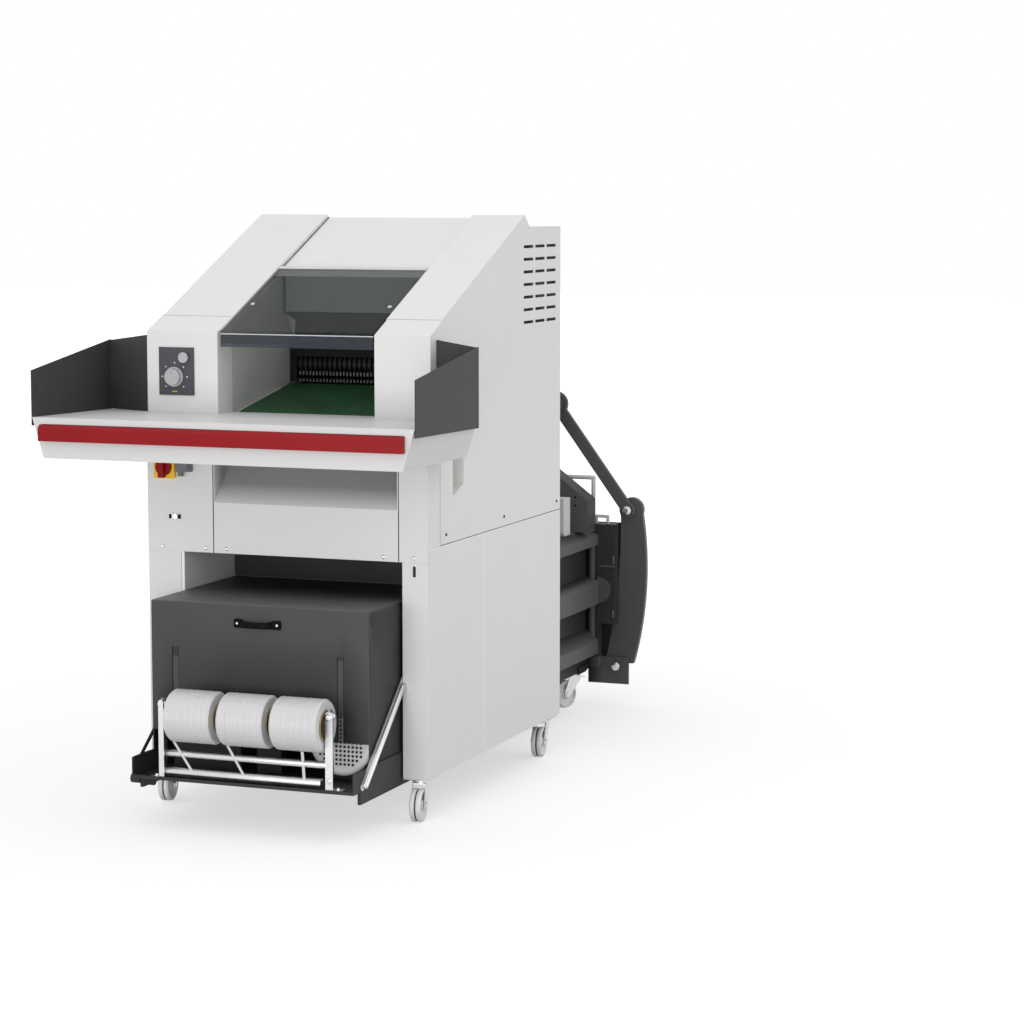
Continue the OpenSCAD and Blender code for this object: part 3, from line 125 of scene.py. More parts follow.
def between(tree, value, start, end, low=0.0, high=1.0):
    """A value that runs from low to high while another runs from start to end."""
    node = tree.nodes.new("ShaderNodeMapRange")
    node.inputs["From Min"].default_value = start
    node.inputs["From Max"].default_value = end
    node.inputs["To Min"].default_value = low
    node.inputs["To Max"].default_value = high
    tree.links.new(value, node.inputs["Value"])
    return node.outputs["Result"]


def spread(tree, value, low, high):
    """Low to high over the middle of a noise's range."""
    return between(tree, value, 0.3, 0.7, low, high)


def combined(tree, operation, first, *others):
    """Sockets taken together by one operation, from the first to the last."""
    for other in others:
        node = tree.nodes.new("ShaderNodeMath")
        node.operation = operation
        tree.links.new(first, node.inputs[0])
        tree.links.new(other, node.inputs[1])
        first = node.outputs["Value"]
    return first


def larger(tree, *values):
    return combined(tree, "MAXIMUM", *values)


def multiply(tree, *values):
    return combined(tree, "MULTIPLY", *values)


def axes_of(tree, socket):
    axes = tree.nodes.new("ShaderNodeSeparateXYZ")
    tree.links.new(socket, axes.inputs["Vector"])
    return axes.outputs["X"], axes.outputs["Y"], axes.outputs["Z"]


def place_of(tree):
    """X, Y and Z of the point that is shaded, in the frame."""
    return axes_of(tree, tree.nodes.new("ShaderNodeTexCoord").outputs["Object"])


def normal_of(tree):
    return axes_of(tree, tree.nodes.new("ShaderNodeNewGeometry").outputs["Normal"])


def seen_directly(tree):
    """One for rays from the camera, also by way of a mirror or clear sheet."""
    rays = tree.nodes.new("ShaderNodeLightPath").outputs
    return larger(tree, rays["Is Camera Ray"], rays["Is Glossy Ray"], rays["Is Transmission Ray"])


def bump(tree, shader, value, strength, distance):
    node = tree.nodes.new("ShaderNodeBump")
    node.inputs["Strength"].default_value = strength
    node.inputs["Distance"].default_value = distance
    tree.links.new(value, node.inputs["Height"])
    tree.links.new(node.outputs["Normal"], shader.inputs["Normal"])


def shade(colour, factor):
    return tuple(min(1.0, c * factor) for c in colour)


def finish_of(
    name, colour, rough, vary=0.04, broad=4.0, grain=900.0, depth=0.06, metal=0.0, rough_vary=0.06,
    stretch=(1, 1, 1), level=0.5,
):
    """A solid finish: cloudy colour, uneven roughness and a fine grain in the surface."""
    material, tree, shader = new_material(name)
    cloud = noise(tree, broad, 5.0)
    fine = noise(tree, grain, 3.0, stretch)
    tree.links.new(ramp(tree, cloud, shade(colour, 1 - vary), shade(colour, 1 + vary)), shader.inputs["Base Color"])
    tree.links.new(spread(tree, fine, rough - rough_vary, rough + rough_vary), shader.inputs["Roughness"])
    shader.inputs["Metallic"].default_value = metal
    shader.inputs["Specular IOR Level"].default_value = level
    bump(tree, shader, fine, depth, 0.001)
    return material


def clear_sheet(name, colour, alpha, level=0.5):
    material, tree, shader = new_material(name)
    smear = noise(tree, 14.0, 5.0)
    tree.links.new(ramp(tree, smear, shade(colour, 0.9), shade(colour, 1.1)), shader.inputs["Base Color"])
    tree.links.new(spread(tree, smear, 0.03, 0.08), shader.inputs["Roughness"])
    shader.inputs["Alpha"].default_value = alpha
    shader.inputs["Specular IOR Level"].default_value = level
    shader.inputs["IOR"].default_value = 1.49
    return material


def wound_strap(name, colour):
    material, tree, shader = new_material(name)
    lines = bands(tree, 95.0, "X", 2.5)
    tree.links.new(ramp(tree, lines, shade(colour, 0.93), shade(colour, 1.03), 0.1, 0.9), shader.inputs["Base Color"])
    fine = noise(tree, 60.0, 4.0, (18, 1, 1))
    tree.links.new(spread(tree, fine, 0.24, 0.42), shader.inputs["Roughness"])
    shader.inputs["Sheen Weight"].default_value = 0.15
    bump(tree, shader, lines, 0.25, 0.001)
    return material


def woven_belt(name, colour):
    material, tree, shader = new_material(name)
    weave = bands(tree, 220.0, "X", 0.4)
    cloud = noise(tree, 9.0, 5.0)
    tree.links.new(ramp(tree, cloud, shade(colour, 0.8), shade(colour, 1.2)), shader.inputs["Base Color"])
    tree.links.new(spread(tree, cloud, 0.5, 0.7), shader.inputs["Roughness"])
    bump(tree, shader, weave, 0.3, 0.0006)
    return material


def tinted(tree, shader, colour, factor):
    """A colour scaled by a value, as the base colour."""
    node = tree.nodes.new("ShaderNodeVectorMath")
    node.operation = "SCALE"
    tree.links.new(colour, node.inputs[0])
    tree.links.new(factor, node.inputs["Scale"])
    tree.links.new(node.outputs["Vector"], shader.inputs["Base Color"])


def press_painted_shade(name, colour):
    """The press's paint with shade painted in: darker between the ribs, on the rear flange and on the edges of the
    guard.
    """
    material, tree, shader = new_material(name)
    x, y, z = place_of(tree)
    _, facing, _ = normal_of(tree)
    off = tree.nodes.new("ShaderNodeMath")
    off.operation = "SUBTRACT"
    off.inputs[1].default_value = at(PRESS_X, 0, 0).x
    tree.links.new(x, off.inputs[0])
    away = tree.nodes.new("ShaderNodeMath")
    away.operation = "ABSOLUTE"
    tree.links.new(off.outputs["Value"], away.inputs[0])
    # Painted shade: darker between the ribs, beyond the rear flange and on the guard's faces that turn from the front
    ribs = larger(tree, between(tree, away.outputs["Value"], 0.243, 0.281, 0.2, 1.0), between(tree, z, 0.636, 0.65))
    clear = larger(tree, between(tree, z, 0.666, 0.668), between(tree, z, 0.178, 0.176))
    flange = larger(tree, between(tree, y, at(0, 2000, 0).y, at(0, 2009, 0).y, 1.0, 0.4), clear)
    edges = larger(
        tree, between(tree, facing, -0.4, -0.8, 0.4, 1.0), between(tree, z, 0.656, 0.654),
        between(tree, y, at(0, 1936, 0).y, at(0, 1940, 0).y), between(tree, y, at(0, 1848, 0).y, at(0, 1846, 0).y))
    cloud = ramp(tree, noise(tree, 4.0, 5.0), shade(colour, 0.9), shade(colour, 1.1))
    tinted(tree, shader, cloud, multiply(tree, ribs, flange, edges))
    fine = noise(tree, 700.0, 3.0)
    tree.links.new(spread(tree, fine, 0.42, 0.54), shader.inputs["Roughness"])
    shader.inputs["Specular IOR Level"].default_value = 0.25
    bump(tree, shader, fine, 0.14, 0.001)
    return material


def painted_light_from_above(name, colour, top, rough, level):
    """A satin coat with painted light and shade: lighter on faces that look up and darker on those that look aside."""
    material, tree, shader = new_material(name)
    aside, _, up = normal_of(tree)
    tinted(tree, shader, ramp(tree, up, colour, top, 0.4, 0.95), between(tree, aside, 0.5, 0.95, 1.0, 0.46))
    fine = noise(tree, 900.0, 3.0)
    tree.links.new(spread(tree, fine, rough - 0.06, rough + 0.06), shader.inputs["Roughness"])
    shader.inputs["Specular IOR Level"].default_value = level
    bump(tree, shader, fine, 0.1, 0.001)
    return material


def panel_with_painted_depth_shade(name, colour, deep, start, end):
    """A satin coat with painted shade that darkens it with depth into a recess, from one distance along Y to another.
    """
    material, tree, shader = new_material(name)
    _, y, _ = place_of(tree)
    tree.links.new(ramp(tree, between(tree, y, start, end), colour, deep, 0.0, 1.0), shader.inputs["Base Color"])
    fine = noise(tree, 1100.0, 3.0)
    tree.links.new(spread(tree, fine, 0.36, 0.48), shader.inputs["Roughness"])
    shader.inputs["Specular IOR Level"].default_value = 0.35
    bump(tree, shader, fine, 0.05, 0.001)
    return material


MATERIALS = {
    "white_paint": finish_of("white_paint", (0.73, 0.732, 0.727), 0.42, vary=0.012, grain=1100, depth=0.05, level=0.35),
    # A darker copy of the white paint for the feed table: painted shade
    "table_white_painted_shade": finish_of("table_white_painted_shade", (0.66, 0.66, 0.655), 0.45, vary=0.012, grain=1100, depth=0.05, level=0.3),
    "wing_paint": finish_of("wing_paint", (0.047, 0.047, 0.048), 0.55, vary=0.06, grain=1000, depth=0.12, level=0.2),
    "press_paint": finish_of("press_paint", (0.085, 0.085, 0.086), 0.48, vary=0.1, grain=700, depth=0.14, level=0.3),
    # The press's paint with painted shade between its ribs, on its flange and on the guard's edges
    "press_painted_shade": press_painted_shade("press_painted_shade", (0.085, 0.085, 0.086)),
    "weld_grey": finish_of("weld_grey", (0.16, 0.16, 0.162), 0.5, vary=0.1, broad=30, grain=700, level=0.3),
    "comb_steel": finish_of("comb_steel", (0.13, 0.13, 0.125), 0.4, vary=0.2, broad=60, grain=400, metal=0.3),
    # Near-black for plates of painted shade in the throat
    "throat_black_shade": finish_of("throat_black_shade", (0.012, 0.014, 0.012), 0.6, vary=0.1, broad=12, grain=500, level=0.1),
    "throat_sheet": finish_of("throat_sheet", (0.33, 0.36, 0.365), 0.5, vary=0.06, broad=8, grain=400, level=0.2),
    "throat_shade": finish_of("throat_shade", (0.03, 0.035, 0.028), 0.55, vary=0.08, broad=12, grain=500, level=0.1),
    # The drive cover's dark paint, with painted light on faces that look up and painted shade on faces that look aside
    "cover_painted_light_and_shade": painted_light_from_above("cover_painted_light_and_shade", (0.066, 0.066, 0.067), (0.16, 0.16, 0.162), 0.5, 0.2),
    # The lower middle panel's white paint with painted shade deeper in its recess
    "recess_painted_shade": panel_with_painted_depth_shade(
        "recess_painted_shade", (0.73, 0.732, 0.727), (0.31, 0.31, 0.305), at(0, 0, 0).y, at(0, 50, 0).y),
    "tray_paint": finish_of("tray_paint", (0.034, 0.034, 0.035), 0.5, vary=0.1, grain=700, depth=0.1, level=0.2),
    # Near-black: partly the drive unit's dark paint and partly painted shade, also used for plates of painted shade
    "drive_dark_and_shade": finish_of("drive_dark_and_shade", (0.022, 0.022, 0.023), 0.5, vary=0.1, grain=600, depth=0.08, level=0.3),
    "seam_shadow": finish_of("seam_shadow", (0.1, 0.1, 0.1), 0.7, vary=0.1, broad=30, grain=900, level=0.1),
    # Painted highlight on folded edges, lighter than the white paint
    "seam_painted_highlight": finish_of("seam_painted_highlight", (0.9, 0.9, 0.9), 0.5, vary=0.02, broad=30, grain=900),
    "black_paint": finish_of("black_paint", (0.012, 0.012, 0.013), 0.42, vary=0.12, grain=700, depth=0.12),
    "bright_steel": finish_of(
        "bright_steel", (0.66, 0.67, 0.68), 0.3, vary=0.03, broad=25, grain=90, depth=0.012, metal=1.0, rough_vary=0.05,
        stretch=(1, 8, 8)),
    "wheel_rubber": finish_of("wheel_rubber", (0.72, 0.73, 0.72), 0.5, vary=0.08, broad=30, grain=500, depth=0.1),
    "clear_plastic": clear_sheet("clear_plastic", (0.02, 0.026, 0.026), 0.34, 0.12),
    "smoked_lip": clear_sheet("smoked_lip", (0.02, 0.03, 0.045), 0.55),
    "zinc_sheet": finish_of(
        "zinc_sheet", (0.6, 0.61, 0.6), 0.5, vary=0.06, broad=8, grain=300, depth=0.05, metal=0.15, rough_vary=0.08),
    "cutter_steel": finish_of(
        "cutter_steel", (0.008, 0.008, 0.008), 0.35, vary=0.2, broad=20, grain=400, depth=0.12, metal=0.3,
        rough_vary=0.1),
    "belt_rubber": woven_belt("belt_rubber", (0.012, 0.075, 0.022)),
    "red_plastic": finish_of(
        "red_plastic", (0.27, 0.008, 0.012), 0.45, vary=0.05, broad=6, grain=800, depth=0.05, level=0.15),
    "yellow_plastic": finish_of("yellow_plastic", (0.85, 0.52, 0.02), 0.36, vary=0.05, broad=20, grain=800),
    "grey_plastic": finish_of("grey_plastic", (0.42, 0.44, 0.45), 0.5, vary=0.04, broad=20, grain=900, depth=0.08),
    "plate_plastic": finish_of("plate_plastic", (0.05, 0.052, 0.06), 0.45, vary=0.05, broad=20, grain=900, depth=0.06),
    "drive_paint": finish_of("drive_paint", (0.74, 0.75, 0.75), 0.45, vary=0.04, grain=600, depth=0.08),
    "black_plastic": finish_of("black_plastic", (0.004, 0.004, 0.0045), 0.5, vary=0.1, broad=30, grain=900, level=0.06),
    "fitting_grey": finish_of("fitting_grey", (0.6, 0.61, 0.61), 0.4, vary=0.04, broad=20, grain=700, depth=0.06),
    "socket_grey": finish_of("socket_grey", (0.14, 0.145, 0.16), 0.5, vary=0.05, broad=30, grain=900, depth=0.06),
    "knob_grey": finish_of("knob_grey", (0.42, 0.42, 0.43), 0.4, vary=0.04, broad=60, grain=300, metal=0.3),
    "strap_white": wound_strap("strap_white", (0.64, 0.638, 0.655)),
    "signal_green": finish_of("signal_green", (0.45, 0.55, 0.03), 0.4, vary=0.05, broad=60, grain=900),
    "mark_white": finish_of("mark_white", (0.7, 0.7, 0.7), 0.5, vary=0.03, broad=60, grain=900),
    "cardboard": finish_of("cardboard", (0.27, 0.2, 0.11), 0.75, vary=0.12, broad=40, grain=600, depth=0.15),
    "dark_hole": finish_of("dark_hole", (0.006, 0.006, 0.006), 0.8, vary=0.2, broad=60, grain=900),
}

# Nodes whose finish isn't the one of their slot; the feed table, drive unit, lower middle panel and press get finishes
# with painted shade
NODE_FINISHES = {
    "base_tray": "tray_paint", "control_knob": "knob_grey", "control_plate": "plate_plastic",
    "drive_unit": "drive_dark_and_shade", "feed_table": "table_white_painted_shade", "flap_strip": "fitting_grey",
    "front_panel_mid": "recess_painted_shade", "press_box": "press_painted_shade", "rear_fittings": "fitting_grey",
    "socket": "socket_grey", "start_button": "knob_grey",
}
for part in frame["record"]["subparts"]:
    node = nodes[part["node"]]
    name = NODE_FINISHES.get(part["node"], part["material_slot"])
    if node.material_slots:
        for held in node.material_slots:
            held.material = MATERIALS[name]
    else:
        node.data.materials.append(MATERIALS[name])


# Folded and machined edges catch the light
def soften(name, width, segments=2, angle=38):
    node = nodes[name]
    weld = node.modifiers.new("weld", "WELD")
    weld.merge_threshold = 0.00002
    edge = node.modifiers.new("edge", "BEVEL")
    edge.width = width
    edge.segments = segments
    edge.limit_method = "ANGLE"
    edge.angle_limit = math.radians(angle)
    edge.use_clamp_overlap = True
    edge.harden_normals = False


SOFT_EDGES = {
    0.0012: [
        "front_panel_left", "front_panel_mid", "front_panel_right", "side_panel_left", "side_panel_right",
        "back_cover", "lower_panel_left", "lower_panel_right", "wing_left", "wing_right", "base_tray",
        "hood_left", "hood_main", "column_left", "column_right", "feed_flap", "flap_strip", "feed_table",
    ],
    0.003: ["leg_left", "leg_right", "lock_lever", "link_bar", "rear_door", "switch_handle"],
    0.002: ["safety_bar", "control_knob", "start_button", "socket", "rear_fittings", "strap_stand", "control_plate"],
}
for width, names in SOFT_EDGES.items():
    for name in names:
        soften(name, width)


# Pieces added to the solids
def piece(name, mesh, slot, body="frame", material=None):
    obj = bpy.data.objects.new(name, mesh)
    bpy.context.collection.objects.link(obj)
    mesh.materials.append(MATERIALS[material or slot])
    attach(obj, body)
    return obj


def turn_to(normal):
    return Vector((0, 0, 1)).rotation_difference(Vector(normal)).to_matrix().to_4x4()


def clean(mesh, merge=False):
    """Normals that all look outwards, and doubled points merged where asked."""
    solid = bmesh.new()
    solid.from_mesh(mesh)
    if merge:
        bmesh.ops.remove_doubles(solid, verts=solid.verts, dist=0.00001)
    bmesh.ops.recalc_face_normals(solid, faces=solid.faces)
    solid.to_mesh(mesh)
    solid.free()


def sharp(mesh, degrees):
    mesh.set_sharp_from_angle(angle=math.radians(degrees))


def rings_mesh(name, rings, place, normal, closed=True):
    """A skin over rings of points that all have the same count."""
    mesh = bpy.data.meshes.new(name)
    points = []
    faces = []
    count = len(rings[0])
    for ring in rings:
        points.extend(ring)
    for i in range(len(rings) - 1):
        for k in range(count):
            a = i * count + k
            b = i * count + (k + 1) % count
            faces.append((a, b, b + count, a + count))
    if closed:
        faces.append(tuple(range(count - 1, -1, -1)))
        last = (len(rings) - 1) * count
        faces.append(tuple(range(last, last + count)))
    matrix = Matrix.Translation(place) @ turn_to(normal)
    mesh.from_pydata([matrix @ Vector(p) for p in points], [], faces)
    if closed:
        clean(mesh)
    mesh.update()
    for face in mesh.polygons:
        face.use_smooth = True
    return mesh


def circle(radius, height, count=24):
    return [
        (radius * math.cos(2 * math.pi * k / count), radius * math.sin(2 * math.pi * k / count), height)
        for k in range(count)
    ]


def hexagon(radius, height, count=24):
    points = []
    for k in range(count):
        angle = 2 * math.pi * k / count
        lean = (angle + math.pi / 6) % (math.pi / 3) - math.pi / 6
        reach = radius * math.cos(math.pi / 6) / math.cos(lean)
        points.append((reach * math.cos(angle), reach * math.sin(angle), height))
    return points


def button_screw(name, place, normal, radius, body="frame", slot="bright_steel", material=None):
    """Dome head with a hexagon socket."""
    r = radius / 1000
    rings = [
        circle(r, -r * 0.1), circle(r, r * 0.12), circle(r * 0.93, r * 0.3), circle(r * 0.78, r * 0.45),
        circle(r * 0.6, r * 0.53), hexagon(r * 0.48, r * 0.54), hexagon(r * 0.46, r * 0.5), hexagon(r * 0.44, r * 0.14),
    ]
    return piece(name, rings_mesh(name, rings, place, normal), slot, body, material)


def hex_bolt(name, place, normal, radius, body="frame", slot="bright_steel", material=None):
    """Hexagon head on a washer."""
    r = radius / 1000
    rings = [
        circle(r * 1.3, -r * 0.1), circle(r * 1.3, r * 0.14), circle(r * 1.24, r * 0.2), hexagon(r * 1.02, r * 0.2),
        hexagon(r, r * 0.24), hexagon(r, r * 0.72), hexagon(r * 0.9, r * 0.84), circle(r * 0.62, r * 0.86),
    ]
    return piece(name, rings_mesh(name, rings, place, normal), slot, body, material)


def disc(name, place, normal, profile, slot, body="frame", material=None, count=40):
    """A turned piece: profile is a list of radius and height in millimetres."""
    rings = [circle(r / 1000, h / 1000, count) for r, h in profile]
    return piece(name, rings_mesh(name, rings, place, normal), slot, body, material)


def rounded_box(name, low, high, slot, edge=0.5, body="frame", material=None):
    """A box between two corners in the cabinet's millimetres, with rounded edges."""
    a = at(*low)
    b = at(*high)
    mesh = bpy.data.meshes.new(name)
    solid = bmesh.new()
    bmesh.ops.create_cube(solid, size=1)
    size = b - a
    for vert in solid.verts:
        vert.co = Vector((vert.co[i] * size[i] + (a[i] + b[i]) / 2 for i in range(3)))
    bmesh.ops.bevel(
        solid, geom=list(solid.edges), offset=edge / 1000, segments=2, profile=0.5, affect="EDGES", clamp_overlap=True)
    solid.to_mesh(mesh)
    solid.free()
    return piece(name, mesh, slot, body, material)


def turned(name, place, normal, profile, slot, body="frame", material=None, count=96):
    """A turned piece with a bore: the profile, in radius and height, runs round the section and back to its start."""
    rings = [circle(r / 1000, h / 1000, count) for r, h in profile]
    mesh = rings_mesh(name, rings + rings[:1], place, normal, closed=False)
    clean(mesh, merge=True)
    sharp(mesh, 35)
    return piece(name, mesh, slot, body, material)


# Screws of the panels
for i, x in enumerate((-412, -267, -196, 321, 419)):
    button_screw(f"front_screw_{i}", at(x, -3, 792), FRONT, 6.5)
for i, (y, z) in enumerate(((142, 848), (625, 850), (1110, 849))):
    button_screw(f"side_screw_right_{i}", at(HALF_WIDTH, y, z), RIGHT, 5, material="dark_hole")
    button_screw(f"side_screw_left_{i}", at(-HALF_WIDTH, y, z), LEFT, 5, material="dark_hole")

# Seams of the cabinet: a dark gap of painted shade over a painted highlight on the folded edge
for side, x, step in (("right", HALF_WIDTH, 0.3), ("left", -HALF_WIDTH, -0.3)):
    near, far = sorted((x, x + step))
    rounded_box(f"seam_line_{side}", (near, 97, 818), (far, 1144, 820.4), "white_paint", 0.1, material="seam_shadow")
    rounded_box(f"seam_highlight_{side}", (near, 1, 814.6), (far, 1144, 817.6), "white_paint", 0.1, material="seam_painted_highlight")
    rounded_box(f"seam_upright_highlight_{side}", (near, 456, 132), (far, 459.5, 814), "white_paint", 0.1, material="seam_painted_highlight")
    rounded_box(f"seam_return_{side}", (near, 95.2, 822), (far, 96.6, 1084), "white_paint", 0.1, material="seam_shadow")
# A painted highlight strip on the leg's front, with a line of painted shade beside it
rounded_box("leg_strip", (-349, -0.3, 131), (-342, 0, 777), "white_paint", 0.1, material="seam_painted_highlight")
rounded_box("leg_strip_line", (-350.4, -0.3, 131), (-349, 0, 777), "white_paint", 0.1, material="seam_shadow")
# Painted shade inside the slot of the right leg
rounded_box("leg_slot_shade", (413.4, 4.4, 735), (422.6, 5.8, 767), "white_paint", 0.2, material="dark_hole")

# Screws of the back cover
back_screws = [(x, z) for z in (846, 1290, 1700) for x in (-430, 430)] + [(0, 846), (0, 1700)]
for i, (x, z) in enumerate(back_screws):
    button_screw(f"back_screw_{i}", at(x, BACK_Y, z), BACK, 5, material="dark_hole")

# Safety bar backing strip, black; its edge above the bar stands as painted shade in the gap there
rounded_box("bar_backing", (-604, -385.4, 1139), (550, -383, 1189), "black_plastic", 0.4)

# Lock plate round the key
rounded_box("key_plate_left", (-388, -7, 878), (-378.5, -3, 891), "black_plastic", 1)
rounded_box("key_plate_right", (-357.5, -7, 878), (-349, -3, 891), "black_plastic", 1)

# Control plate marks
KNOB_X, KNOB_Z = -371, 1309
DIAL_R = 42
for i, degrees in enumerate((-135, -90, -45, 0, 45, 90, 135)):
    angle = math.radians(degrees)
    x = KNOB_X + DIAL_R * math.sin(angle)
    z = KNOB_Z + DIAL_R * math.cos(angle)
    rounded_box(f"dial_mark_{i}", (x - 2, 10.6, z - 2), (x + 2, 11, z + 2), "grey_plastic", 0.1, material="mark_white")
rounded_box("dial_bar", (-380, 10.4, 1263), (-362, 11, 1266), "grey_plastic", 0.1, material="signal_green")


def slope(y):
    """Height of the hood's face at a depth."""
    return SLOPE_FOOT_Z + SLOPE * (y - SLOPE_FOOT_Y)


def slope_strip(name, across, along, lift, slot, body="frame", material=None):
    """A thin strip that lies along the hood's slope, with chamfered long edges."""
    rings = []
    for y in along:
        z = slope(y) + lift
        low, high = across
        rings.append([
            at(low, y, z - 0.8), at(high, y, z - 0.8), at(high, y, z - 0.3), at(high - 0.3, y, z),
            at(low + 0.3, y, z), at(low, y, z - 0.3)])
    mesh = rings_mesh(name, rings, ORIGIN, UP)
    sharp(mesh, 30)
    return piece(name, mesh, slot, body, material)


# Flap screws
for i, (x, y) in enumerate(((-195, 193), (263, 188))):
    button_screw(f"flap_screw_{i}", at(x, y, slope(y)), (0, -SLOPE, 1), 6.5, "flap", material="zinc_sheet")

# Edge strips beside the flap and the seams across the hoods
slope_strip("flap_edge_frame", (-227.8, -221.6), (26, 428), -1.0, "white_paint", material="fitting_grey")
slope_strip("flap_edge_left", (-220.6, -214), (28, 424), 0.6, "clear_plastic", "flap", "weld_grey")
slope_strip("hood_cut_left", (-461.8, -228.4), (111.4, 112.8), 0.3, "white_paint", material="weld_grey")
slope_strip("hood_cut_right", (287.4, 461.8), (111.4, 112.8), 0.3, "white_paint", material="weld_grey")

# Painted highlight along the clear flap's bend, and a smoked tint on its lip
rounded_box("flap_bend_highlight", (-221, 23.2, 1439.5), (280, 24.6, 1442.5), "clear_plastic", 0.3, "flap", "fitting_grey")
rounded_box("flap_lip_tint", (-220.5, 22.9, 1402), (279.5, 23.4, 1439.2), "clear_plastic", 0.1, "flap", "smoked_lip")

# Throat behind the flap: the back panel, and painted shade as dark plates at the corner, along the fold and under it
rounded_box("throat_panel", (-218, 474.5, 1489), (284, 476.5, 1622), "zinc_sheet", 0.5, material="throat_sheet")
rounded_box("throat_corner", (-222, 470, 1486), (-218, 474, 1620), "zinc_sheet", 0.5, material="throat_black_shade")
rounded_box("throat_fold", (-220, 469, 1486), (284, 472, 1489.5), "zinc_sheet", 0.5, material="throat_black_shade")


def throat_shade():
    """A plate of painted shade below the fold whose left end slants."""
    outline = [(-218, 1486), (284, 1486), (284, 1400), (-186, 1400), (-182, 1462)]
    rings = [[at(x, y, z) for x, z in outline] for y in (470, 473)]
    mesh = rings_mesh("throat_shade", rings, ORIGIN, UP)
    sharp(mesh, 30)
    return mesh


piece("throat_plate", throat_shade(), "zinc_sheet", material="throat_shade")
# Black plates of painted shade above the cutter and at its left end
rounded_box("throat_top", (-226, 520, 1346), (285, 525, 1384), "cutter_steel", 0.8, material="throat_black_shade")
rounded_box("throat_end", (-226, 520, 1266), (-203, 525, 1350), "cutter_steel", 0.8, material="throat_black_shade")


def finger_comb(name, rows):
    """Rows of short upright fingers, each a box with a slanted top."""
    points = []
    faces = []
    for start, end, pitch, low, top, y in rows:
        for i in range(int((end - start) / pitch)):
            x = start + i * pitch
            first = len(points)
            for u, v, z in ((0, 0, low), (5, 0, low), (5, 5, low), (0, 5, low),
                            (0, 0, top - 3), (5, 0, top - 3), (5, 5, top), (0, 5, top)):
                points.append(at(x + u, y + v, z))
            for a, b, c, d in ((0, 1, 5, 4), (1, 2, 6, 5), (2, 3, 7, 6), (3, 0, 4, 7), (4, 5, 6, 7), (3, 2, 1, 0)):
                faces.append((first + a, first + b, first + c, first + d))
    mesh = bpy.data.meshes.new(name)
    mesh.from_pydata(points, [], faces)
    mesh.update()
    return piece(name, mesh, "cutter_steel", material="comb_steel")


finger_comb("throat_comb", [(-196, 284, 11.7, 1287, 1301, 525), (-196, 284, 11.7, 1266, 1277, 526)])

# Strap rolls: straps wound side by side on a cardboard core
ROLL_Z = 339.5
ROLL_X = -211.5
ROLL_W = 460 / 3
ROLL_GAP = 17
ROLL_R = 78
CORE_R = 47
BORE_R = 41
TURNS = 16


def winding():
    """Section of one roll: the wound top, then down the end, along the core and up the other end."""
    lip = 3
    edge = 5
    top = []
    width = (ROLL_W - 2 * lip - 2 * edge) / TURNS
    for i in range(TURNS):
        x = lip + edge + i * width
        crown = ROLL_R - 0.35 - 0.3 * math.sin(i * 2.4)
        top += [(crown - 0.9, x + 0.2), (crown, x + 1.4), (crown, x + width - 1.4), (crown - 0.9, x + width - 0.2)]
    end = []
    layers = 11
    for i in range(layers):
        r = ROLL_R - edge - (ROLL_R - edge - CORE_R) * i / layers
        end += [(r, lip + 0.2), (r - 2.2, lip + 0.2), (r - 2.5, lip + 0.8), (r - 3.0, lip + 0.8)]
    start = [(CORE_R, lip + 0.8)] + end[::-1]
    finish = [(r, ROLL_W - h) for r, h in start[::-1]]
    return start + top + finish


for i, side in enumerate(("left", "mid", "right")):
    place = at(ROLL_X + i * (ROLL_W + ROLL_GAP), STAND_Y, ROLL_Z)
    roll = turned(f"roll_winding_{side}", place, RIGHT, winding(), "strap_white", f"roll_{side}")
    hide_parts(f"roll_{side}")
    core = [(BORE_R, 0), (BORE_R, ROLL_W), (CORE_R - 0.2, ROLL_W), (CORE_R - 0.2, 0)]
    turned(f"roll_core_{side}", place, RIGHT, core, "strap_white", f"roll_{side}", "cardboard", 64)

# Caster wheels: two treads with a groove between them, and a dark ring of painted shade in the groove
CASTERS = (
    ("wheel_front_left", -417, 48, 8), ("wheel_front_right", 420, 48, 8), ("wheel_rear_left", -417, 1083, 8),
    ("wheel_rear_right", 420, 1083, 8), ("wheel_press_left", -182, 1950, -27), ("wheel_press_right", 218, 1950, -27))
TREAD = [
    (6.4, 17), (15, 17), (16, 16), (16, 11), (30, 10), (39, 12), (39.6, 16), (41, 17.4), (45, 17.4), (48.6, 15),
    (50, 11.5), (50, 4.5), (49, 2.8), (46, 2.6)]
WHEEL_TRAIL = 40
WHEEL_Z = 50
for name, x, y, turn in CASTERS:
    angle = math.radians(turn)
    place = at(x + WHEEL_TRAIL * math.sin(angle), y - WHEEL_TRAIL * math.cos(angle), WHEEL_Z)
    axis = (math.cos(angle), math.sin(angle), 0)
    profile = [(r, -h) for r, h in TREAD] + TREAD[::-1]
    treads = turned(f"{name}_treads", place, axis, profile, "wheel_rubber", name, count=64)
    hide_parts(name.replace("wheel_press", "press_wheel"))
    # A dark ring of painted shade inside the groove
    ring = [(44.6, -2.7), (46.2, -2.7), (46.2, 2.7), (44.6, 2.7)]
    turned(f"{name}_groove", place, axis, ring, "wheel_rubber", name, "seam_shadow", 64)

# Drive cover: one folded sheet with rounded corners
COVER_L = -337
COVER_R = 372
COVER_FRONT = -226
COVER_BACK = 335
COVER_TOP = 661
COVER_LOW = 271
COVER_SIDE_LOW = 205
COVER_SLOT_TOP = 525
COVER_CORNER = 4
COVER_FOLD = 4
COVER_SHEET = 3
FRONT_SLOTS = ((-268, -246), (268, 290))
SIDE_SLOT = (-211, -206, 612, 649)


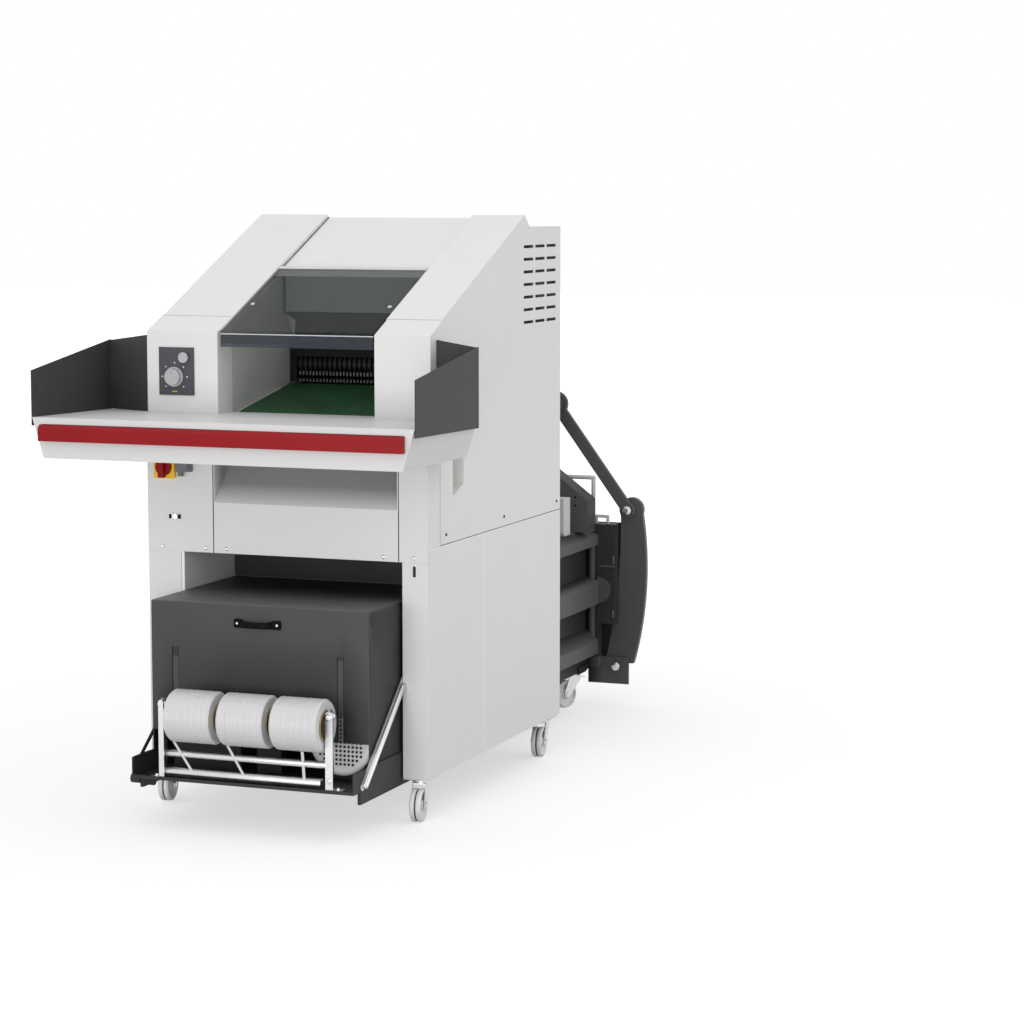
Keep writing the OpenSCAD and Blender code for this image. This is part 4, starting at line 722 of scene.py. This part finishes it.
def cover_path():
    """Points round the cover on plan with their outward normals, from the right rear to the left rear corner."""
    points = [(COVER_R, y, 1, 0) for y in (COVER_BACK, SIDE_SLOT[1], SIDE_SLOT[0])]
    steps = 6
    for i in range(steps + 1):
        angle = -math.pi / 2 * i / steps
        c, n = math.cos(angle), math.sin(angle)
        points.append((COVER_R - COVER_CORNER + COVER_CORNER * c, COVER_FRONT + COVER_CORNER + COVER_CORNER * n, c, n))
    for slot in FRONT_SLOTS[::-1]:
        points += [(slot[1], COVER_FRONT, 0, -1), (slot[0], COVER_FRONT, 0, -1)]
    for i in range(steps + 1):
        angle = -math.pi / 2 - math.pi / 2 * i / steps
        c, n = math.cos(angle), math.sin(angle)
        points.append((COVER_L + COVER_CORNER + COVER_CORNER * c, COVER_FRONT + COVER_CORNER + COVER_CORNER * n, c, n))
    points.append((COVER_L, COVER_BACK, -1, 0))
    return points


def cover_mesh():
    """The cover's skin: rows of points up the sides, over the fold and across the roof, with its slots left open."""
    path = cover_path()
    levels = [COVER_SIDE_LOW, COVER_LOW, COVER_SLOT_TOP, SIDE_SLOT[2], SIDE_SLOT[3], COVER_TOP - COVER_FOLD]
    rows = [[(x, y, z) for x, y, _, _ in path] for z in levels]
    folds = 4
    for k in range(1, folds + 1):
        angle = math.pi / 2 * k / folds
        inset = COVER_FOLD * (1 - math.cos(angle))
        z = COVER_TOP - COVER_FOLD + COVER_FOLD * math.sin(angle)
        rows.append([(x - nx * inset, y - ny * inset, z) for x, y, nx, ny in path])
    count = len(path)
    faces = []
    for k in range(len(rows) - 1):
        low = rows[k][0][2]
        for i in range(count - 1):
            a, b = path[i], path[i + 1]
            front = abs(a[1] - COVER_FRONT) < 0.01 and abs(b[1] - COVER_FRONT) < 0.01
            slotted = front and any(abs(a[0] - s[1]) < 0.01 and abs(b[0] - s[0]) < 0.01 for s in FRONT_SLOTS)
            open_side = a[0] == COVER_R and a[1] == SIDE_SLOT[1] and b[1] == SIDE_SLOT[0]
            if slotted and low < COVER_SLOT_TOP - 0.01:
                continue
            if front and low < COVER_LOW - 0.01:
                continue
            if open_side and abs(low - SIDE_SLOT[2]) < 0.01:
                continue
            faces.append((k * count + i, (k + 1) * count + i, (k + 1) * count + i + 1, k * count + i + 1))
    last = (len(rows) - 1) * count
    faces.append(tuple(range(last + count - 1, last - 1, -1)))
    mesh = bpy.data.meshes.new("cover_skin")
    mesh.from_pydata([at(*p) for row in rows for p in row], [], faces)
    solid = bmesh.new()
    solid.from_mesh(mesh)
    bmesh.ops.delete(solid, geom=[v for v in solid.verts if not v.link_faces], context="VERTS")
    bmesh.ops.remove_doubles(solid, verts=solid.verts, dist=0.00001)
    bmesh.ops.recalc_face_normals(solid, faces=solid.faces)
    roof = max(solid.faces, key=lambda f: f.calc_area())
    if roof.normal.z < 0:
        bmesh.ops.reverse_faces(solid, faces=solid.faces)
    solid.to_mesh(mesh)
    solid.free()
    for face in mesh.polygons:
        face.use_smooth = True
    sharp(mesh, 35)
    return mesh


# The cover's coat paints light on its roof and shade on its sides
cover = piece("cover_skin", cover_mesh(), "press_paint", material="cover_painted_light_and_shade")
sheet = cover.modifiers.new("sheet", "SOLIDIFY")
sheet.thickness = COVER_SHEET / 1000
sheet.offset = -1
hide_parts("drive_cover")

# Bow handle on the drive cover
HANDLE_X = (-60, 91)
HANDLE_Z = 606


def bow_handle():
    """A bar that leaves one foot, bows out and comes back to the other, broader at its feet."""
    foot, bend = 24, 16
    stations = []
    left, right = HANDLE_X
    for x, y, tall in ((0, 0, 11), (2, 0, 13), (foot - 4, 0, 13), (foot, -2, 12), (foot + 5, -10, 10.5),
                       (foot + 9, -20, 9.5), (foot + bend, -26, 9), (foot + bend + 10, -27, 9)):
        stations.append((left + x, COVER_FRONT - 3.6 + y, tall))
    stations += [(left + right - x, y, tall) for x, y, tall in stations[::-1]]
    rings = []
    thick = 3.4
    for i, (x, y, tall) in enumerate(stations):
        before = stations[max(0, i - 1)]
        after = stations[min(len(stations) - 1, i + 1)]
        along = Vector((after[0] - before[0], after[1] - before[1], 0)).normalized()
        out = Vector((along.y, -along.x, 0))
        ring = []
        for u, v in ((-1, -0.75), (-0.75, -1), (0.75, -1), (1, -0.75), (1, 0.75), (0.75, 1), (-0.75, 1), (-1, 0.75)):
            ring.append(at(x + out.x * u * thick, y + out.y * u * thick, HANDLE_Z + v * tall))
        rings.append(ring)
    return rings_mesh("bow_handle", rings, ORIGIN, UP)


handle = piece("bow_handle", bow_handle(), "black_plastic")
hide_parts("cover_handle")

# Handle screws on the drive cover
for i, x in enumerate((-49, 80)):
    button_screw(f"handle_screw_{i}", at(x, COVER_FRONT - 7, HANDLE_Z), FRONT, 4.5)

# Bolt heads of the lock
hex_bolt("lever_bolt_head", at(355, 2041, 140), FRONT, 12)
hex_bolt("link_pin_head", at(397, 2038.5, 715), FRONT, 12, "lock_lever")
for i, z in enumerate((779, 748)):
    button_screw(f"guard_screw_{i}", at(265, 1850, z), FRONT, 5, slot="press_paint", material="dark_hole")

# Motor cowl: a dished ring round a perforated plate
MOTOR = (268, -200, 268)
cowl = [(101, 0), (101, 8), (97, 14), (90, 17), (84, 17), (82, 15), (80, 13.5)]
disc("motor_cowl", at(MOTOR[0], MOTOR[1] + 10, MOTOR[2]), FRONT, cowl, "drive_paint", count=72)


def hole_grid(name, place, reach, pitch, size, keep):
    """Small square openings on a grid, drawn as dark plates of painted shade."""
    points = []
    faces = []
    count = int(reach / pitch)
    for i in range(-count, count + 1):
        for k in range(-count, count + 1):
            x, z = i * pitch, k * pitch
            if not keep(x, z):
                continue
            start = len(points)
            for depth in (0, 0.5):
                for u, v in ((-1, -1), (1, -1), (1, 1), (-1, 1)):
                    points.append(at(place[0] + x + u * size / 2, place[1] + depth, place[2] + z + v * size / 2))
            for side in ((0, 1, 2, 3), (7, 6, 5, 4), (4, 5, 1, 0), (5, 6, 2, 1), (6, 7, 3, 2), (7, 4, 0, 3)):
                faces.append(tuple(start + k for k in side))
    mesh = bpy.data.meshes.new(name)
    mesh.from_pydata(points, [], faces)
    mesh.update()
    return piece(name, mesh, "drive_paint", material="dark_hole")


hole_grid("cowl_holes", (MOTOR[0], MOTOR[1] - 3.9, MOTOR[2]), 78, 13, 7.5, lambda x, z: math.hypot(x, z) < 76)

# Liner behind the slots of the drive cover in the cover's coat, with a dark top strip of painted shade and a dark
# surround of painted shade
for side, (low_x, high_x), top in (("left", FRONT_SLOTS[0], 497), ("right", FRONT_SLOTS[1], 512)):
    parts = (("liner", COVER_LOW, top, "cover_painted_light_and_shade"), ("window", top, COVER_SLOT_TOP, "drive_dark_and_shade"))
    for name, low_z, high_z, coat in parts:
        rounded_box(
            f"slot_{name}_{side}", (low_x + 2, COVER_FRONT + 1.8, low_z), (high_x - 2, COVER_FRONT + 3.2, high_z),
            "press_paint", 0.2, material=coat)
    rounded_box(
        f"slot_shadow_{side}", (low_x - 1, COVER_FRONT + 3.3, COVER_LOW), (high_x + 1, COVER_FRONT + 4.3, 527),
        "press_paint", 0.2, material="dark_hole")
rounded_box(
    "slot_strip", (272, COVER_FRONT + 0.6, COVER_LOW), (286, COVER_FRONT + 1.7, 349), "drive_paint", 0.3,
    material="weld_grey")
hole_grid("slot_strip_holes", (279, COVER_FRONT + 0.4, 310), 38, 12, 7, lambda x, z: abs(x) < 1)
# A near-black plate of painted shade on the press's back plate above the cover
rounded_box("cover_backdrop_shade", (-336, 333, 663), (371, 334.6, 771), "press_paint", 0.3, material="drive_dark_and_shade")

# End of the press channel behind the lever, a near-black plate of painted shade
rounded_box("channel_end_shade", (250, 2098, 128), (372, 2104, 663), "press_paint", 1.5, material="drive_dark_and_shade")
rounded_box("rib_weld", (296, 1992.5, 373), (301.4, 1996, 461), "press_paint", 0.8, material="weld_grey")
rounded_box("flange_step", (303, 2003, 508), (361, 2011, 516), "press_paint", 1.5, material="press_paint")
for i, z in enumerate((324, 522)):
    rounded_box(f"flange_slot_{i}", (354, 2008.8, z), (359, 2010.4, z + 28), "press_paint", 0.4, material="weld_grey")
rounded_box("box_lid", (223, 1711, 660), (273, 1720.5, 788), "grey_plastic", 3, material="fitting_grey")
for i, z in enumerate((670, 778)):
    button_screw(f"box_screw_{i}", at(248, 1711, z), FRONT, 3.5)
disc("hook_washer", at(118, 2044.6, 1095), FRONT, [(28, 0), (28, 3), (26.5, 4), (20, 4.4)], "press_paint")


def round_bar(name, low, high, y, width, thick, slot, body="frame"):
    """An upright flat bar with a round top, between two heights, seen from the front."""
    middle = (low[0] + high[0]) / 2
    outline = [(low[0], low[1]), (high[0], low[1])]
    crest = high[1] - width / 2
    for k in range(13):
        angle = math.pi * k / 12
        outline.append((middle + width / 2 * math.cos(angle), crest + width / 2 * math.sin(angle)))
    rings = []
    for depth, inset in ((0, 0.6), (0.6, 0), (thick - 0.6, 0), (thick, 0.6)):
        ring = []
        for x, z in outline:
            ring.append(at(x - inset * (1 if x > middle else -1), y + depth, z))
        rings.append(ring)
    mesh = rings_mesh(name, rings, ORIGIN, UP)
    sharp(mesh, 40)
    return piece(name, mesh, slot, body)


# Front bars of the strap stand with their bolts, and the latch's bolt
round_bar("stand_bar_right", (284, 155), (308, 385), -347.5, 24, 4, "bright_steel")
round_bar("stand_bar_left", (-253, 155), (-236, 385), -347.5, 17, 4, "bright_steel")
hex_bolt("stand_nut_front", at(296, -347.5, 368), FRONT, 9)
hex_bolt("stand_low_bolt", at(296, -347.5, 182), FRONT, 6)
button_screw("latch_bolt", at(-344, -324.2, 172), FRONT, 5)


def tube_between(name, start, end, profile, slot, material=None):
    """A tube between two points, its profile given as radius and share of the length."""
    a = at(*start)
    b = at(*end)
    length = (b - a).length
    rings = [circle(r / 1000, share * length, 20) for r, share in profile]
    return piece(name, rings_mesh(name, rings, a, (b - a).normalized()), slot, material=material)


# Tube of the right stay
tube_between(
    "stay_tube", (384, -296, 160), (384, -8, 413), [(6, 0), (9, 0.008), (10, 0.02), (10, 0.98), (8, 1)], "bright_steel")

# Seams where the hoods meet the flap's opening
seam = [(1.2, 0), (1.9, 0.004), (1.9, 0.996), (1.2, 1)]
for name, x in (("hood_seam_left", -223.6), ("hood_seam_right", 282.6)):
    start = (x, 460, slope(460) - 14.4)
    tube_between(name, start, (x, 822, 1782.4), seam, "white_paint", "seam_shadow")

# Sleeves on the stand's two cross bars
SLEEVES = (("stand_sleeve_upper", -244, 291, 225, 11), ("stand_sleeve_lower", -240, 266, 171, 13.5))
for name, low_x, high_x, z, r in SLEEVES:
    ends = [(r - 1.5, 0), (r, 0.004), (r, 0.996), (r - 1.5, 1)]
    tube_between(name, (low_x, STAND_Y, z), (high_x, STAND_Y, z), ends, "bright_steel")

# Strap stand hardware
for i, (x, normal) in enumerate(((302, RIGHT), (-252, LEFT))):
    hex_bolt(f"axle_nut_{i}", at(x, STAND_Y, 370), normal, 9)
hex_bolt("stand_bolt_right", at(318, STAND_Y, 155), UP, 7)
hex_bolt("stand_bolt_left", at(-268, STAND_Y, 155), UP, 7)

# Stage
floor = bpy.data.objects.new("floor", bpy.data.meshes.new("floor"))
bpy.context.collection.objects.link(floor)
reach = 40
corners = [(-reach, -reach, 0), (reach, -reach, 0), (reach, reach, 0), (-reach, reach, 0)]
floor.data.from_pydata(corners, [], [(0, 1, 2, 3)])


def studio_floor():
    """A pale floor that keeps the shadow near the machine and runs into the white background."""
    material, tree, shader = new_material("floor")
    cloud = noise(tree, 0.5, 3.0)
    tree.links.new(ramp(tree, cloud, (0.44, 0.44, 0.44), (0.46, 0.46, 0.46)), shader.inputs["Base Color"])
    shader.inputs["Roughness"].default_value = 0.9
    shader.inputs["Specular IOR Level"].default_value = 0.1
    coord = tree.nodes.new("ShaderNodeTexCoord")
    away = tree.nodes.new("ShaderNodeVectorMath")
    away.operation = "LENGTH"
    tree.links.new(coord.outputs["Object"], away.inputs[0])
    fade = between(tree, away.outputs["Value"], 2.0, 5.0, 0.58, 0.9)
    shader.inputs["Emission Color"].default_value = (1, 1, 1, 1)
    tree.links.new(multiply(tree, seen_directly(tree), fade), shader.inputs["Emission Strength"])
    return material


floor.data.materials.append(studio_floor())


def area_light(name, place, target, size, power):
    """A rectangular lamp at one point that looks at another."""
    light = bpy.data.lights.new(name, "AREA")
    light.shape = "RECTANGLE"
    light.size = size[0]
    light.size_y = size[1]
    light.energy = power
    obj = bpy.data.objects.new(name, light)
    bpy.context.collection.objects.link(obj)
    obj.location = place
    obj.rotation_euler = (Vector(target) - Vector(place)).to_track_quat("-Z", "Y").to_euler()


area_light("overhead", (0.8, -0.5, 5.2), (0, -0.2, 0), (6, 6), 30)
area_light("front_fill", (0.9, -6.2, 0.8), (0.1, -0.8, 0.4), (4, 1.6), 112)
area_light("side_fill", (6.5, 0.6, 1.8), (0, 0.4, 0.7), (4, 2), 38)

world = bpy.data.worlds.new("studio")
bpy.context.scene.world = world
world.use_nodes = True
sky = world.node_tree
sky.nodes.clear()
out = sky.nodes.new("ShaderNodeOutputWorld")
mix = sky.nodes.new("ShaderNodeMixShader")
for i, strength in enumerate((0.85, 1.0), start=1):
    background = sky.nodes.new("ShaderNodeBackground")
    background.inputs["Color"].default_value = (1, 1, 1, 1)
    background.inputs["Strength"].default_value = strength
    sky.links.new(background.outputs["Background"], mix.inputs[i])
sky.links.new(seen_directly(sky), mix.inputs["Fac"])
sky.links.new(mix.outputs["Shader"], out.inputs["Surface"])

bpy.context.scene.view_settings.view_transform = "Standard"
